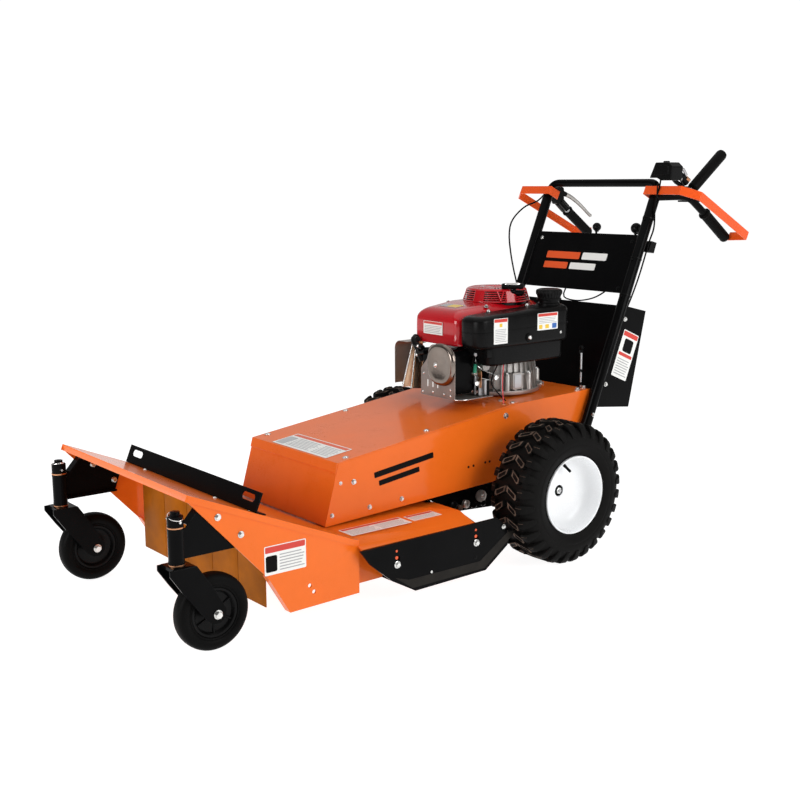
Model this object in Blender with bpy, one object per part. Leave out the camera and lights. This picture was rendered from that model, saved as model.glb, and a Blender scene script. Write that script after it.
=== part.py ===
"""Walk-behind brush mower: a mower deck on two front casters, driven by two rear wheels.

Units are metres, +Z is up and the machine's front faces -Y.
Every y below is measured from the rear axle; one empty carries the machine to its place.
"""
import math

import bmesh
import bpy
from mathutils import Matrix, Vector

# ---------------------------------------------------------------- driving dimensions
AXLE_Y = 0.194915           # rear axle behind the middle of the machine's length
FIT = 0.0004                # gap between touching pieces
SHEET = 0.004               # deck plate thickness
THIN = 0.003                # cover plate thickness

TYRE_R = 0.203              # rear tyre, 16 x 6.50-8
TYRE_HALF = 0.0825
TYRE_X = 0.355
RIM_R = 0.1115
HUB_HOLE_R = 0.0160
AXLE_R = 0.0125
WHEEL_STEPS = 28

CASTER_X = 0.326
CASTER_STEM_Y = -1.190
CASTER_WHEEL_Y = -1.107
CASTER_R = 0.093
CASTER_HALF = 0.023
CASTER_RIM_R = 0.060
CASTER_STEPS = 20
ARM_LOW = 0.2245
ARM_TOP = 0.3075
ARM_TUBE_R = 0.0185
STEM_R = 0.010

PANEL_X = 0.3434            # outer face of the deck's front side panels
LIP_Y = -1.168
LIP_Z = 0.3835
CREASE_Y = -0.700           # the sloping front plate meets the flat deck here
DECK_Z = 0.188
DECK_REAR_Y = -0.320
CHAMBER_X = 0.302
SHOULDER_X = 0.362
SHOULDER_Z = 0.166
SKID_X = 0.369
SKID_BOLTS = (-0.587, -0.316)

FLAP_COUNT = 5
FLAP_SPAN = 0.637
FLAP_Y = -0.952
FLAP_PIN_Z = 0.276
FLAP_PIN_R = 0.006
FLAP_LOW = 0.062

BOX_X = 0.210               # outer side face of the belt housing
BOX_FRONT = [(-0.703, 0.1905), (-0.657, 0.352)]
BOX_KNEE = (-0.008, 0.435)
BOX_REAR = (0.290, 0.4445)
LID_REAR_Y = -0.012

BLADE_Y = -0.497
BLADE_R = 0.283
BELT_Z = 0.330
BELT_HALF = 0.006
BELT_DEPTH = 0.010
ENGINE_PULLEY_R = 0.050
SPINDLE_PULLEY_R = 0.080
IDLER_R = 0.028
IDLER_STEPS = 18
IDLER_Y = -0.200
IDLER_PIVOT = (0.155, -0.085)

ENGINE_Y = 0.090            # crankshaft
ENGINE_Z = 0.4420           # underside of the crankcase
SHROUD_FRONT = -0.154
SHROUD_X = 0.100
SHROUD_TOP = 0.7145
SLOPE_FROM = -0.015         # the shroud's top falls forwards of here

UPRIGHT_X = 0.230
UPRIGHT_R = 0.0165
UPRIGHT_FOOT = (0.248, 0.330)
UPRIGHT_LEAN = 0.4208       # y gained for each metre of height
CROSSBAR_Z = 1.063
CROSSBAR_R = 0.0125
GRIP_TUBE_R = 0.0115
GRIP_R = 0.0165
GRIP_START = Vector((0.2946, 0.697, 0.9705))
GRIP_END = Vector((0.2943, 0.808, 0.8911))
GUARD_FALL = math.radians(26)

ROPE_EYE = Vector((0.087, 0.074, 0.7525))
PULL = Vector((0.405, -0.320, 0.857)).normalized()
RECOIL_TRAVEL = 0.160

CONTROL_LEVERS = {"throttle_lever": (0.012, 0.0140), "speed_lever": (0.176, 0.0170)}    # x, ball radius
LEVER_PIVOT = (0.5060, 0.850)
BALL_AT = (0.5190, 0.9235)
DRIVE_PIVOT = Vector((0.2680, 0.6620, 1.0380))
DRIVE_TIP = Vector((0.2700, 0.8070, 1.1490))
BRAKE_PIVOT = Vector((-0.2800, 0.6480, 1.0330))

SIDES = {"left": 1, "right": -1}

# ---------------------------------------------------------------- finishes
FINISHES = {
    "orange": ((0.83, 0.17, 0.02), 0.30, 0.0),
    "orange_guard": ((0.75, 0.10, 0.02), 0.35, 0.0),
    "black_coat": ((0.012, 0.012, 0.013), 0.42, 0.0),
    "black_plastic": ((0.015, 0.015, 0.016), 0.50, 0.0),
    "rubber": ((0.020, 0.020, 0.020), 0.80, 0.0),
    "white_rim": ((0.85, 0.85, 0.83), 0.35, 0.0),
    "flap_tan": ((0.45, 0.22, 0.05), 0.55, 0.0),
    "red": ((0.45, 0.010, 0.015), 0.22, 0.0),
    "alloy": ((0.62, 0.61, 0.59), 0.45, 0.9),
    "chrome": ((0.75, 0.73, 0.70), 0.18, 1.0),
    "bronze": ((0.55, 0.36, 0.20), 0.35, 0.9),
    "steel": ((0.55, 0.55, 0.56), 0.35, 1.0),
    "zinc": ((0.70, 0.70, 0.70), 0.30, 1.0),
}


def finish(name):
    """The Principled material of one finish, made once."""
    found = bpy.data.materials.get(name)
    if found:
        return found
    colour, roughness, metallic = FINISHES[name]
    material = bpy.data.materials.new(name)
    material.use_nodes = True
    shader = material.node_tree.nodes["Principled BSDF"]
    shader.inputs["Base Color"].default_value = (*colour, 1)
    shader.inputs["Roughness"].default_value = roughness
    shader.inputs["Metallic"].default_value = metallic
    return material


# ---------------------------------------------------------------- shape helpers
def solid_object(bm, name="piece"):
    """An object of a closed bmesh, its faces turned outwards."""
    bmesh.ops.remove_doubles(bm, verts=bm.verts, dist=1e-6)
    bmesh.ops.recalc_face_normals(bm, faces=bm.faces)
    mesh = bpy.data.meshes.new(name)
    bm.to_mesh(mesh)
    bm.free()
    obj = bpy.data.objects.new(name, mesh)
    bpy.context.collection.objects.link(obj)
    return obj


def along(axis, a, b, c):
    """A point from two outline values and a place along an axis."""
    return {"x": (c, a, b), "y": (a, c, b), "z": (a, b, c)}[axis]


def slab(axis, outline, low, high):
    """An outline extruded along an axis; x takes (y, z), y takes (x, z), z takes (x, y)."""
    return loft([[along(axis, a, b, place) for a, b in outline] for place in (low, high)])


def loft(rings):
    """A closed solid through rings that have equally many points."""
    bm = bmesh.new()
    rows = [[bm.verts.new(point) for point in ring] for ring in rings]
    count = len(rows[0])
    for first, second in zip(rows, rows[1:]):
        for i in range(count):
            j = (i + 1) % count
            bm.faces.new((first[i], first[j], second[j], second[i]))
    bm.faces.new(rows[0])
    bm.faces.new(rows[-1])
    return solid_object(bm)


def block(low, high):
    """A box between two corners."""
    outline = [(low[0], low[1]), (high[0], low[1]), (high[0], high[1]), (low[0], high[1])]
    return slab("z", outline, low[2], high[2])


def turned(axis, centre, profile, steps=24):
    """A closed (radius, place) profile turned about an axis, with a flat facet lowest."""
    bm = bmesh.new()
    widen = 1 / math.cos(math.pi / steps)
    rows = []
    for radius, place in profile:
        if radius < 1e-6:
            rows.append([bm.verts.new(spot(axis, centre, 0, 0, place))] * steps)
            continue
        angles = [2 * math.pi * (i + 0.5) / steps for i in range(steps)]
        rows.append([bm.verts.new(spot(axis, centre, radius * widen * math.cos(t),
                                       radius * widen * math.sin(t), place)) for t in angles])
    closed = profile[0][0] > 1e-6 or profile[-1][0] > 1e-6
    pairs = list(zip(rows, rows[1:] + (rows[:1] if closed else [])))
    for first, second in pairs:
        if len(first) != len(second):
            continue
        for i in range(steps):
            j = (i + 1) % steps
            corners = list(dict.fromkeys((first[i], first[j], second[j], second[i])))
            if len(corners) > 2:
                bm.faces.new(corners)
    obj = solid_object(bm)
    obj.data.shade_smooth()
    obj.data.set_sharp_from_angle(angle=math.radians(35))
    return obj


def spot(axis, centre, a, b, place):
    """A point a and b off an axis through centre, at a place along it."""
    x, y, z = centre
    return {"x": (x + place, y + a, z + b), "z": (x + a, y + b, z + place),
            "y": (x + a, y + place, z + b)}[axis]


def rod(start, end, radius, sides=16):
    """A straight round bar."""
    return pipe([start, end], radius, sides)


def pipe(path, radius, sides=16):
    """A round bar through a list of points, mitred at the bends."""
    points = [Vector(p) for p in path]
    steps = [(b - a).normalized() for a, b in zip(points, points[1:])]
    normal = steps[0].orthogonal().normalized()
    rings = []
    for i, point in enumerate(points):
        before, after = steps[max(i - 1, 0)], steps[min(i, len(steps) - 1)]
        tangent = (before + after).normalized()
        normal = (normal - tangent * normal.dot(tangent)).normalized()
        side = tangent.cross(normal)
        turns = [2 * math.pi * (k + 0.5) / sides for k in range(sides)]
        rings.append([point + radius * (normal * math.cos(t) + side * math.sin(t)) for t in turns])
    obj = loft(rings)
    obj.data.shade_smooth()
    obj.data.set_sharp_from_angle(angle=math.radians(40))
    return obj


def bend(path, radius, steps=5):
    """A path with each inner corner rounded by a short arc."""
    points = [Vector(p) for p in path]
    out = [points[0]]
    for before, corner, after in zip(points, points[1:], points[2:]):
        start = corner + (before - corner).normalized() * radius
        end = corner + (after - corner).normalized() * radius
        for i in range(steps + 1):
            t = i / steps
            out.append(start.lerp(corner, t).lerp(corner.lerp(end, t), t))
    return out + [points[-1]]


def folded(path, thickness):
    """The closed outline of a sheet that follows a flat path, on its left side."""
    points = [Vector(p) for p in path]
    steps = [(b - a).normalized() for a, b in zip(points, points[1:])]
    far = []
    for i, point in enumerate(points):
        before, after = steps[max(i - 1, 0)], steps[min(i, len(steps) - 1)]
        left = Vector((-before.y, before.x)) + Vector((-after.y, after.x))
        left.normalize()
        square = left.dot(Vector((-before.y, before.x)))
        far.append(point + left * thickness / square)
    return [tuple(p) for p in points] + [tuple(p) for p in reversed(far)]


def rounded(low, high, radius, steps=4):
    """A rectangle's outline with round corners."""
    corners = [(high[0] - radius, high[1] - radius, 0), (low[0] + radius, high[1] - radius, 1),
               (low[0] + radius, low[1] + radius, 2), (high[0] - radius, low[1] + radius, 3)]
    out = []
    for x, y, quarter in corners:
        for i in range(steps + 1):
            t = math.pi / 2 * (quarter + i / steps)
            out.append((x + radius * math.cos(t), y + radius * math.sin(t)))
    return out


def boolean(target, tool, operation):
    """One exact Boolean, applied; the tool is used up."""
    step = target.modifiers.new(operation, "BOOLEAN")
    step.operation = operation
    step.solver = "EXACT"
    step.object = tool
    graph = bpy.context.evaluated_depsgraph_get()
    result = bpy.data.meshes.new_from_object(target.evaluated_get(graph))
    target.modifiers.clear()
    target.data = result
    bpy.data.objects.remove(tool)


def join(pieces, cuts=()):
    """Weld pieces into one solid, then take the cuts away."""
    base, *others = pieces
    for other in others:
        boolean(base, other, "UNION")
    for cut in cuts:
        boolean(base, cut, "DIFFERENCE")
    return base


def mirrored(obj, side):
    """The same piece for one side of the machine; +1 keeps it as drawn."""
    if side > 0:
        return obj
    obj.data.transform(Matrix.Diagonal((-1, 1, 1, 1)))
    obj.data.flip_normals()
    return obj


def node(name, obj, coat, pivot=(0, 0, 0)):
    """Name a finished piece, coat it and put its origin on its joint's axis."""
    obj.name = name
    obj.data.name = name
    obj.data.transform(Matrix.Translation(-Vector(pivot)))
    obj.location = pivot
    obj.parent = MACHINE
    obj.data.materials.clear()
    obj.data.materials.append(finish(coat))
    return obj


# ---------------------------------------------------------------- shared lines
SLOPE = (LIP_Z - DECK_Z) / (CREASE_Y - LIP_Y)
SLOPE_RUN = Vector((1, -SLOPE)).normalized()
SLOPE_UP = Vector((SLOPE, 1)).normalized()


def slope_point(y, lift=0.0, run=0.0):
    """A (y, z) point over the sloping front plate."""
    base = Vector((y, LIP_Z - SLOPE * (y - LIP_Y)))
    return tuple(base + SLOPE_UP * lift + SLOPE_RUN * run)


def upright_y(z):
    """The uprights' centre line at a height."""
    return UPRIGHT_FOOT[0] + UPRIGHT_LEAN * (z - UPRIGHT_FOOT[1])


def box_top(y):
    """Height of the belt housing's top edge."""
    (y0, z0), (y1, z1) = (BOX_FRONT[1], BOX_KNEE) if y < BOX_KNEE[0] else (BOX_KNEE, BOX_REAR)
    return z0 + (z1 - z0) * (y - y0) / (y1 - y0)


# ---------------------------------------------------------------- deck
def make_deck():
    """The welded orange deck: sloping front, flat top, side panels and blade chamber."""
    lip = [(LIP_Y, LIP_Z - 0.018), (LIP_Y, LIP_Z), (CREASE_Y, DECK_Z), (CREASE_Y + 0.006, DECK_Z)]
    front = slab("x", folded(lip, -SHEET), -PANEL_X - THIN, PANEL_X + THIN)
    top_line = [(-SHOULDER_X, SHOULDER_Z), (-CHAMBER_X, DECK_Z), (CHAMBER_X, DECK_Z),
                (SHOULDER_X, SHOULDER_Z)]
    top = slab("y", folded(top_line, -SHEET), CREASE_Y + 0.004, DECK_REAR_Y)
    rear = slab("x", folded([(DECK_REAR_Y - 0.003, DECK_Z), (-0.195, 0.095)], -SHEET),
                -CHAMBER_X + 0.001, CHAMBER_X - 0.001)
    pieces = [front, top, rear]
    for side in SIDES.values():
        pieces += [mirrored(piece, side) for piece in deck_side()]
    pin = rod((-PANEL_X + 0.002, FLAP_Y, FLAP_PIN_Z), (PANEL_X - 0.002, FLAP_Y, FLAP_PIN_Z), FLAP_PIN_R, 12)
    spindle_hole = turned("z", (0, BLADE_Y, 0), [(0, 0.1), (0.038, 0.1), (0.038, 0.25), (0, 0.25)])
    adjust = [rod((-0.5, y, z), (0.5, y, z), 0.0055, 10) for y, z in ((-0.842, 0.100), (-0.830, 0.082))]
    node("deck_shell", join(pieces + [pin], [spindle_hole] + adjust), "orange")


def deck_side():
    """Panels of the deck's left side."""
    edge = [(-1.169, 0.369), (-0.961, 0.145), (-0.900, 0.044)]
    panel = [slope_point(LIP_Y + 0.001, -0.002), *edge, (CREASE_Y + 0.008, 0.048),
             (CREASE_Y + 0.008, DECK_Z - 0.002), (CREASE_Y, DECK_Z - 0.002)]
    fold = [slope_point(LIP_Y + 0.0005, -0.0005), slope_point(LIP_Y + 0.0005, -0.016),
            slope_point(CREASE_Y - 0.001, -0.016), slope_point(CREASE_Y - 0.001, -0.0005)]
    wall = [(CREASE_Y + 0.005, DECK_Z - 0.002), (CREASE_Y + 0.005, 0.055), (-0.300, 0.060), (-0.192, 0.078),
            (-0.197, 0.095), (DECK_REAR_Y, DECK_Z - 0.002)]
    step = block((CHAMBER_X - 0.002, CREASE_Y + 0.004, 0.0485),
                 (PANEL_X - 0.0005, CREASE_Y + 0.0075, DECK_Z - 0.003))
    return [slab("x", panel, PANEL_X - SHEET, PANEL_X),
            slab("x", folded(edge[1:], SHEET), PANEL_X - 0.024, PANEL_X - 0.001),
            slab("x", fold, PANEL_X - 0.001, PANEL_X + THIN - 0.0005),
            slab("x", wall, CHAMBER_X - SHEET, CHAMBER_X), step]


def make_flaps():
    """Steel flaps that hang across the deck's mouth, each free on the cross pin."""
    pitch = FLAP_SPAN / FLAP_COUNT
    for i in range(FLAP_COUNT):
        low = -FLAP_SPAN / 2 + i * pitch + 0.001
        high = low + pitch - 0.002
        eye = rod((low, FLAP_Y, FLAP_PIN_Z), (high, FLAP_Y, FLAP_PIN_Z), FLAP_PIN_R + 0.0045, 16)
        leaf = block((low, FLAP_Y - 0.0015, FLAP_LOW), (high, FLAP_Y + 0.0015, FLAP_PIN_Z - 0.004))
        bore = rod((low - 0.01, FLAP_Y, FLAP_PIN_Z), (high + 0.01, FLAP_Y, FLAP_PIN_Z),
                   FLAP_PIN_R + 0.001, 16)
        node(f"front_flap_{i + 1}", join([eye, leaf], [bore]), "flap_tan", (0, FLAP_Y, FLAP_PIN_Z))


def make_front_bar():
    """Black angle bar across the sloping plate, with a slot in each end."""
    y = -0.990
    leg = [slope_point(y, lift, run) for lift, run in
           ((0.0005, 0), (0.050, 0), (0.050, 0.004), (0.004, 0.004), (0.004, 0.030), (0.0005, 0.030))]
    bar = slab("x", leg, -0.342, 0.342)
    slots = []
    for side in SIDES.values():
        slot = [slope_point(y, 0.022, -0.01), slope_point(y, 0.040, -0.01),
                slope_point(y, 0.040, 0.02), slope_point(y, 0.022, 0.02)]
        slots.append(mirrored(slab("x", slot, 0.262, 0.320), side))
    node("front_guard_bar", join([bar], slots), "black_coat")


def make_skids():
    """Bolt-on skid shoes beside the blade chamber, each with an inturned runner."""
    plate = [(-0.706, 0.164), (-0.243, 0.168), (-0.212, 0.140), (-0.197, 0.108), (-0.203, 0.084),
             (-0.284, 0.028), (-0.530, 0.024), (-0.606, 0.066), (-0.675, 0.123)]
    runner = [(-0.606, 0.066), (-0.530, 0.024), (-0.284, 0.028), (-0.205, 0.083)]
    half_wide, half_tall = 0.0055, 0.016
    for label, side in SIDES.items():
        pieces = [slab("x", plate, SKID_X - 0.006, SKID_X),
                  slab("x", folded(runner, 0.006), SKID_X - 0.045, SKID_X - 0.001)]
        slots = []
        for y in SKID_BOLTS:
            pieces.append(block((CHAMBER_X + FIT, y - 0.02, 0.085), (SKID_X - 0.004, y + 0.02, 0.125)))
            outline = rounded((y - half_wide, 0.1145 - half_tall), (y + half_wide, 0.1145 + half_tall),
                              half_wide * 0.99, 3)
            slots.append(slab("x", outline, SKID_X - 0.010, SKID_X + 0.010))
        node(f"skid_shoe_{label}", mirrored(join(pieces, slots), side), "black_coat")


# ---------------------------------------------------------------- front casters
def make_casters():
    """Caster arms, bushes, forks and wheels on both sides."""
    for label, side in SIDES.items():
        node(f"caster_arm_{label}", mirrored(caster_arm(), side), "black_coat")
        stem = (side * CASTER_X, CASTER_STEM_Y, 0)
        wheel = (side * CASTER_X, CASTER_WHEEL_Y, CASTER_R)
        node(f"caster_bush_{label}", mirrored(caster_bush(), side), "bronze", stem)
        node(f"caster_fork_{label}", mirrored(caster_fork(), side), "black_coat", stem)
        node(f"caster_axle_bolt_{label}", mirrored(caster_bolt(), side), "zinc", wheel)
        node(f"caster_hub_{label}", mirrored(caster_hub(), side), "black_plastic", wheel)
        node(f"caster_tyre_{label}", mirrored(caster_tyre(), side), "rubber", wheel)


def caster_arm():
    """A plate bolted inside the deck's side panel, with the stem tube at its nose."""
    centre = (CASTER_X, CASTER_STEM_Y, 0)
    tube_line = [(0, ARM_LOW), (ARM_TUBE_R, ARM_LOW), (ARM_TUBE_R, ARM_TOP), (0, ARM_TOP)]
    tube = turned("z", centre, tube_line, 16)
    plate = [(-1.182, 0.236), (-1.182, 0.3065), (-1.170, 0.3065), (-1.132, 0.349), (-1.113, 0.3500),
             (-1.012, 0.3075), (-1.012, 0.284), (-1.029, 0.236)]
    inner = PANEL_X - SHEET - FIT
    web = slab("x", plate, inner - 0.006, inner)
    flange_line = [(-1.166, 0.3130), (-1.134, 0.3485), (-1.1135, 0.3495), (-1.014, 0.3075)]
    flange = slab("x", folded(flange_line, -0.005), inner - 0.026, inner - 0.001)
    foot = block((inner - 0.020, -1.180, 0.236), (inner - 0.001, -1.030, 0.241))
    bore = turned("z", centre, [(0, 0.2), (0.0135, 0.2), (0.0135, 0.33), (0, 0.33)], 16)
    return join([tube, web, flange, foot], [bore])


def caster_bush():
    """Bronze sleeve in the arm's tube, with a thrust flange at each end."""
    flange, bore = 0.0195, STEM_R + FIT
    sleeve, collar = 0.0131, 0.0040
    profile = [(bore, ARM_LOW - collar), (flange, ARM_LOW - collar), (flange, ARM_LOW - FIT),
               (sleeve, ARM_LOW - FIT), (sleeve, ARM_TOP + FIT), (flange, ARM_TOP + FIT),
               (flange, ARM_TOP + collar), (bore, ARM_TOP + collar)]
    return turned("z", (CASTER_X, CASTER_STEM_Y, 0), profile, 16)


def caster_fork():
    """Fork with its stem, head collar and two trailing legs."""
    head, crown = ARM_TOP + 0.0044, ARM_LOW - 0.0044
    stem_line = [(0, crown - 0.010), (STEM_R, crown - 0.010), (STEM_R, head), (0.0185, head),
                 (0.0185, head + 0.024), (0.0110, head + 0.026), (0.0110, head + 0.034), (0, head + 0.035)]
    stem = turned("z", (CASTER_X, CASTER_STEM_Y, 0), stem_line, 16)
    crown_plate = block((CASTER_X - 0.032, -1.2135, crown - 0.008), (CASTER_X + 0.032, -1.158, crown))
    leg = [(-1.224, crown - 0.001), (-1.224, 0.206), (-1.196, 0.165), (-1.134, 0.083), (-1.120, 0.072),
           (-1.100, 0.071), (-1.086, 0.083), (-1.084, 0.102), (-1.120, 0.165), (-1.156, crown - 0.001)]
    legs = [slab("x", leg, CASTER_X + x, CASTER_X + x + 0.005) for x in (-0.0325, 0.0275)]
    hole = rod((CASTER_X - 0.05, CASTER_WHEEL_Y, CASTER_R), (CASTER_X + 0.05, CASTER_WHEEL_Y, CASTER_R),
               0.0066, 12)
    return join([crown_plate, stem, *legs], [hole])


def caster_bolt():
    """Wheel bolt with a hexagon head and nut."""
    shank = [(0, -0.042), (0.0100, -0.042), (0.0100, -0.0330), (0.0060, -0.0330), (0.0060, 0.0330),
             (0.0100, 0.0330), (0.0100, 0.0400), (0, 0.0400)]
    return turned("x", (CASTER_X, CASTER_WHEEL_Y, CASTER_R), shank, 12)


def caster_hub():
    """Moulded wheel centre with a raised boss."""
    half = [(0.0067, 0.0268), (0.0160, 0.0268), (0.0180, 0.0100), (0.0480, 0.0080),
            (CASTER_RIM_R - FIT, 0.0175)]
    profile = half + [(r, -h) for r, h in reversed(half)]
    return turned("x", (CASTER_X, CASTER_WHEEL_Y, CASTER_R), profile, CASTER_STEPS)


def caster_tyre():
    """Round-shouldered rubber ring."""
    half = [(CASTER_RIM_R, 0.0185), (0.0740, CASTER_HALF), (0.0840, 0.0215), (0.0900, 0.0165),
            (CASTER_R, 0.0075)]
    profile = half + [(r, -h) for r, h in reversed(half)]
    return turned("x", (CASTER_X, CASTER_WHEEL_Y, CASTER_R), profile, CASTER_STEPS)


# ---------------------------------------------------------------- rear wheels and drive
def make_rear_wheels():
    """Tyres, rims and hubs on both ends of the axle."""
    for label, side in SIDES.items():
        pivot = (side * TYRE_X, 0, TYRE_R)
        node(f"rear_tyre_{label}", mirrored(rear_tyre(), side), "rubber", pivot)
        node(f"rear_rim_{label}", mirrored(rear_rim(), side), "white_rim", pivot)
        node(f"wheel_hub_{label}", mirrored(wheel_hub(), side), "steel", pivot)


def rear_tyre():
    """Hollow tyre carcass, open at its beads."""
    bead = RIM_R + FIT
    outer = [(bead, 0.0700), (0.137, 0.0805), (0.168, TYRE_HALF), (0.194, 0.0745), (TYRE_R, 0.0420)]
    inner = [(0.187, 0.0500), (0.160, 0.0680), (bead, 0.0580)]
    outside = outer + [(r, -h) for r, h in reversed(outer)]
    inside = [(r, -h) for r, h in reversed(inner)] + inner
    return turned("x", (TYRE_X, 0, TYRE_R), outside + inside, WHEEL_STEPS)


def rear_rim():
    """Pressed steel wheel with a deeply dished disc."""
    profile = [(RIM_R, 0.0736), (RIM_R, -0.0736), (0.1075, -0.0736), (0.1075, 0.0260), (0.0880, 0.0130),
               (HUB_HOLE_R, 0.0060), (HUB_HOLE_R, 0.0100), (0.0870, 0.0172), (0.1045, 0.0330),
               (0.1070, 0.0736)]
    return turned("x", (TYRE_X, 0, TYRE_R), profile, WHEEL_STEPS)


def wheel_hub():
    """Wheel flange on its half shaft, which ends inside the transaxle."""
    profile = [(0, -0.2450), (AXLE_R, -0.2450), (AXLE_R, -0.0300), (0.0280, -0.0280), (0.0280, -0.0060),
               (0.0520, -0.0040), (0.0520, 0.0050), (0.0150, 0.0050), (0.0150, 0.0062), (0.0120, 0.0080),
               (0, 0.0080)]
    return turned("x", (TYRE_X, 0, TYRE_R), profile, 20)


def make_transaxle():
    """Gear case between the frame rails, with a bored tube for each half shaft."""
    case = [(-0.085, 0.165), (-0.050, 0.118), (0.050, 0.118), (0.085, 0.165), (0.085, 0.235),
            (0.050, 0.262), (-0.050, 0.262), (-0.085, 0.235)]
    body = slab("x", case, -0.085, 0.085)
    tube = rod((-0.182, 0, TYRE_R), (0.182, 0, TYRE_R), 0.0240, 20)
    input_boss = turned("z", (0, -0.03, 0), [(0, 0.25), (0.028, 0.25), (0.028, 0.290), (0, 0.290)], 16)
    bores = [rod((side * 0.100, 0, TYRE_R), (side * 0.200, 0, TYRE_R), AXLE_R + 0.001, 20)
             for side in SIDES.values()]
    node("transaxle", join([body, tube, input_boss], bores), "alloy")


def make_frame():
    """Black chassis: two rails under the belt housing with cross plates."""
    rail = [(-0.338, 0.1885), (-0.338, 0.225), (-0.117, 0.240), (0.235, 0.310), (0.250, 0.195), (0.150, 0.150),
            (-0.060, 0.135), (-0.310, 0.150)]
    rails = [mirrored(slab("x", rail, 0.184, 0.190), side) for side in SIDES.values()]
    front = block((-0.188, -0.335, 0.152), (0.188, -0.329, 0.224))
    middle = block((-0.188, -0.130, 0.142), (0.188, -0.124, 0.205))
    back = block((-0.2125, 0.205, 0.198), (0.2125, 0.228, 0.206))
    rear = block((-0.188, 0.222, 0.199), (0.188, 0.228, 0.270))
    seat = block((0.120, -0.126, 0.199), (0.188, -0.060, 0.206))
    holes = [rod((-0.3, 0, TYRE_R), (0.3, 0, TYRE_R), 0.0260, 20)]
    front_notch = block((-0.4, -0.45, 0.10), (0.4, DECK_REAR_Y + 0.0005, DECK_Z + 0.0005))
    under_slope = [(DECK_REAR_Y - 0.01, 0.10), (DECK_REAR_Y - 0.01, DECK_Z + 0.0080),
                   (DECK_REAR_Y + 0.0005, DECK_Z + 0.0005), (-0.192, 0.0950), (-0.192, 0.05)]
    slope_notch = slab("x", under_slope, -0.4, 0.4)
    frame = join(rails + [front, middle, back, rear, seat], holes + [front_notch, slope_notch])
    node("chassis_frame", frame, "black_coat")


# ---------------------------------------------------------------- belt housing
def make_belt_housing():
    """Orange housing over the belt, with the engine plate as its rear top."""
    side_wall = [*BOX_FRONT, BOX_KNEE, BOX_REAR, (0.261, 0.338), (0.250, 0.270), (-0.117, 0.217)]
    walls = [mirrored(slab("x", side_wall, BOX_X - THIN, BOX_X), side) for side in SIDES.values()]
    inner = BOX_X - 0.001
    front_low, front_top = Vector(BOX_FRONT[0]), Vector(BOX_FRONT[1])
    front_line = [tuple(front_low.lerp(front_top, 0.01)), tuple(front_low.lerp(front_top, 0.90))]
    front = slab("x", folded(front_line, -THIN), -inner, inner)
    along_top = (LID_REAR_Y + 0.002, BOX_KNEE[0] + 0.004, BOX_REAR[0] - 0.001)
    plate_line = [(y, box_top(y) - 0.0006) for y in along_top] + [(0.2610, 0.340)]
    plate = slab("x", folded(plate_line, -0.005), -inner, inner)
    crank_hole = turned("z", (0, ENGINE_Y, 0), [(0, 0.40), (0.045, 0.40), (0.045, 0.47), (0, 0.47)])
    node("belt_housing", join(walls + [front, plate], [crank_hole]), "orange")


def make_lid():
    """Bolted lid over the belt, folded down at the front."""
    lift = 0.0006
    front = Vector(BOX_FRONT[1]) - Vector(BOX_FRONT[0])
    front.normalize()
    nose = Vector(BOX_FRONT[1]) + Vector((-0.0034, 0.0006))
    line = [tuple(nose - front * 0.024), tuple(nose + front * 0.0022),
            (LID_REAR_Y, box_top(LID_REAR_Y) + lift + THIN)]
    node("belt_cover_lid", slab("x", folded(line, -THIN), -BOX_X, BOX_X), "orange")


# ---------------------------------------------------------------- blade drive
def groove_profile(radius, centre_z, half=0.013):
    """Outer wall of a pulley rim with one belt groove."""
    clear = BELT_HALF + FIT
    rim = radius + 0.014
    floor = radius - 0.0012
    return [(rim, centre_z - half), (rim, centre_z - clear), (floor, centre_z - clear),
            (floor, centre_z + clear), (rim, centre_z + clear), (rim, centre_z + half)]


def make_drive():
    """Crank pulley, blade spindle, idler, belt and blade."""
    low, high = BELT_Z - 0.013, BELT_Z + 0.013
    crank = [(0, low - 0.012), (AXLE_R, low - 0.012), (AXLE_R, low), *groove_profile(ENGINE_PULLEY_R, BELT_Z),
             (AXLE_R, high), (AXLE_R, 0.500), (0, 0.500)]
    node("engine_pulley", turned("z", (0, ENGINE_Y, 0), crank, 24), "steel", (0, ENGINE_Y, 0))
    shaft = [(0, 0.058), (0.028, 0.058), (0.028, 0.0745), (AXLE_R, 0.0745), (AXLE_R, 0.0855),
             (0.028, 0.0855), (0.028, 0.110), (AXLE_R, 0.110), (AXLE_R, low),
             *groove_profile(SPINDLE_PULLEY_R, BELT_Z),
             (AXLE_R, high), (AXLE_R, high + 0.010), (0, high + 0.010)]
    node("blade_spindle", turned("z", (0, BLADE_Y, 0), shaft, 24), "steel", (0, BLADE_Y, 0))
    bearing = [(0.0135, 0.118), (0.0360, 0.118), (0.0360, 0.1886), (0.0680, 0.1886), (0.0680, 0.197),
               (0.0360, 0.199), (0.0300, low - 0.008), (0.0135, low - 0.008)]
    node("spindle_housing", turned("z", (0, BLADE_Y, 0), bearing, 20), "alloy")
    make_blade()
    make_idler()
    make_belt()


def make_blade():
    """Heavy bar blade, chamfered towards its cutting ends."""
    half, chord = BLADE_R, 0.036
    outline = [(-half, -chord * 0.5), (-half + 0.05, -chord), (half, -chord), (half, chord * 0.5),
               (half - 0.05, chord), (-half, chord)]
    bar = slab("z", [(x, y + BLADE_Y) for x, y in outline], 0.075, 0.085)
    wide = AXLE_R + 0.0006
    bore = turned("z", (0, BLADE_Y, 0), [(0, 0.05), (wide, 0.05), (wide, 0.1), (0, 0.1)], 24)
    node("cutter_blade", join([bar], [bore]), "steel", (0, BLADE_Y, 0))


def make_belt():
    """One V belt round the two pulleys."""
    outer = slab("z", loop_outline(BELT_DEPTH), BELT_Z - BELT_HALF, BELT_Z + BELT_HALF)
    inner = slab("z", loop_outline(0.0), BELT_Z - 0.02, BELT_Z + 0.02)
    node("drive_belt", join([outer], [inner]), "rubber")


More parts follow.
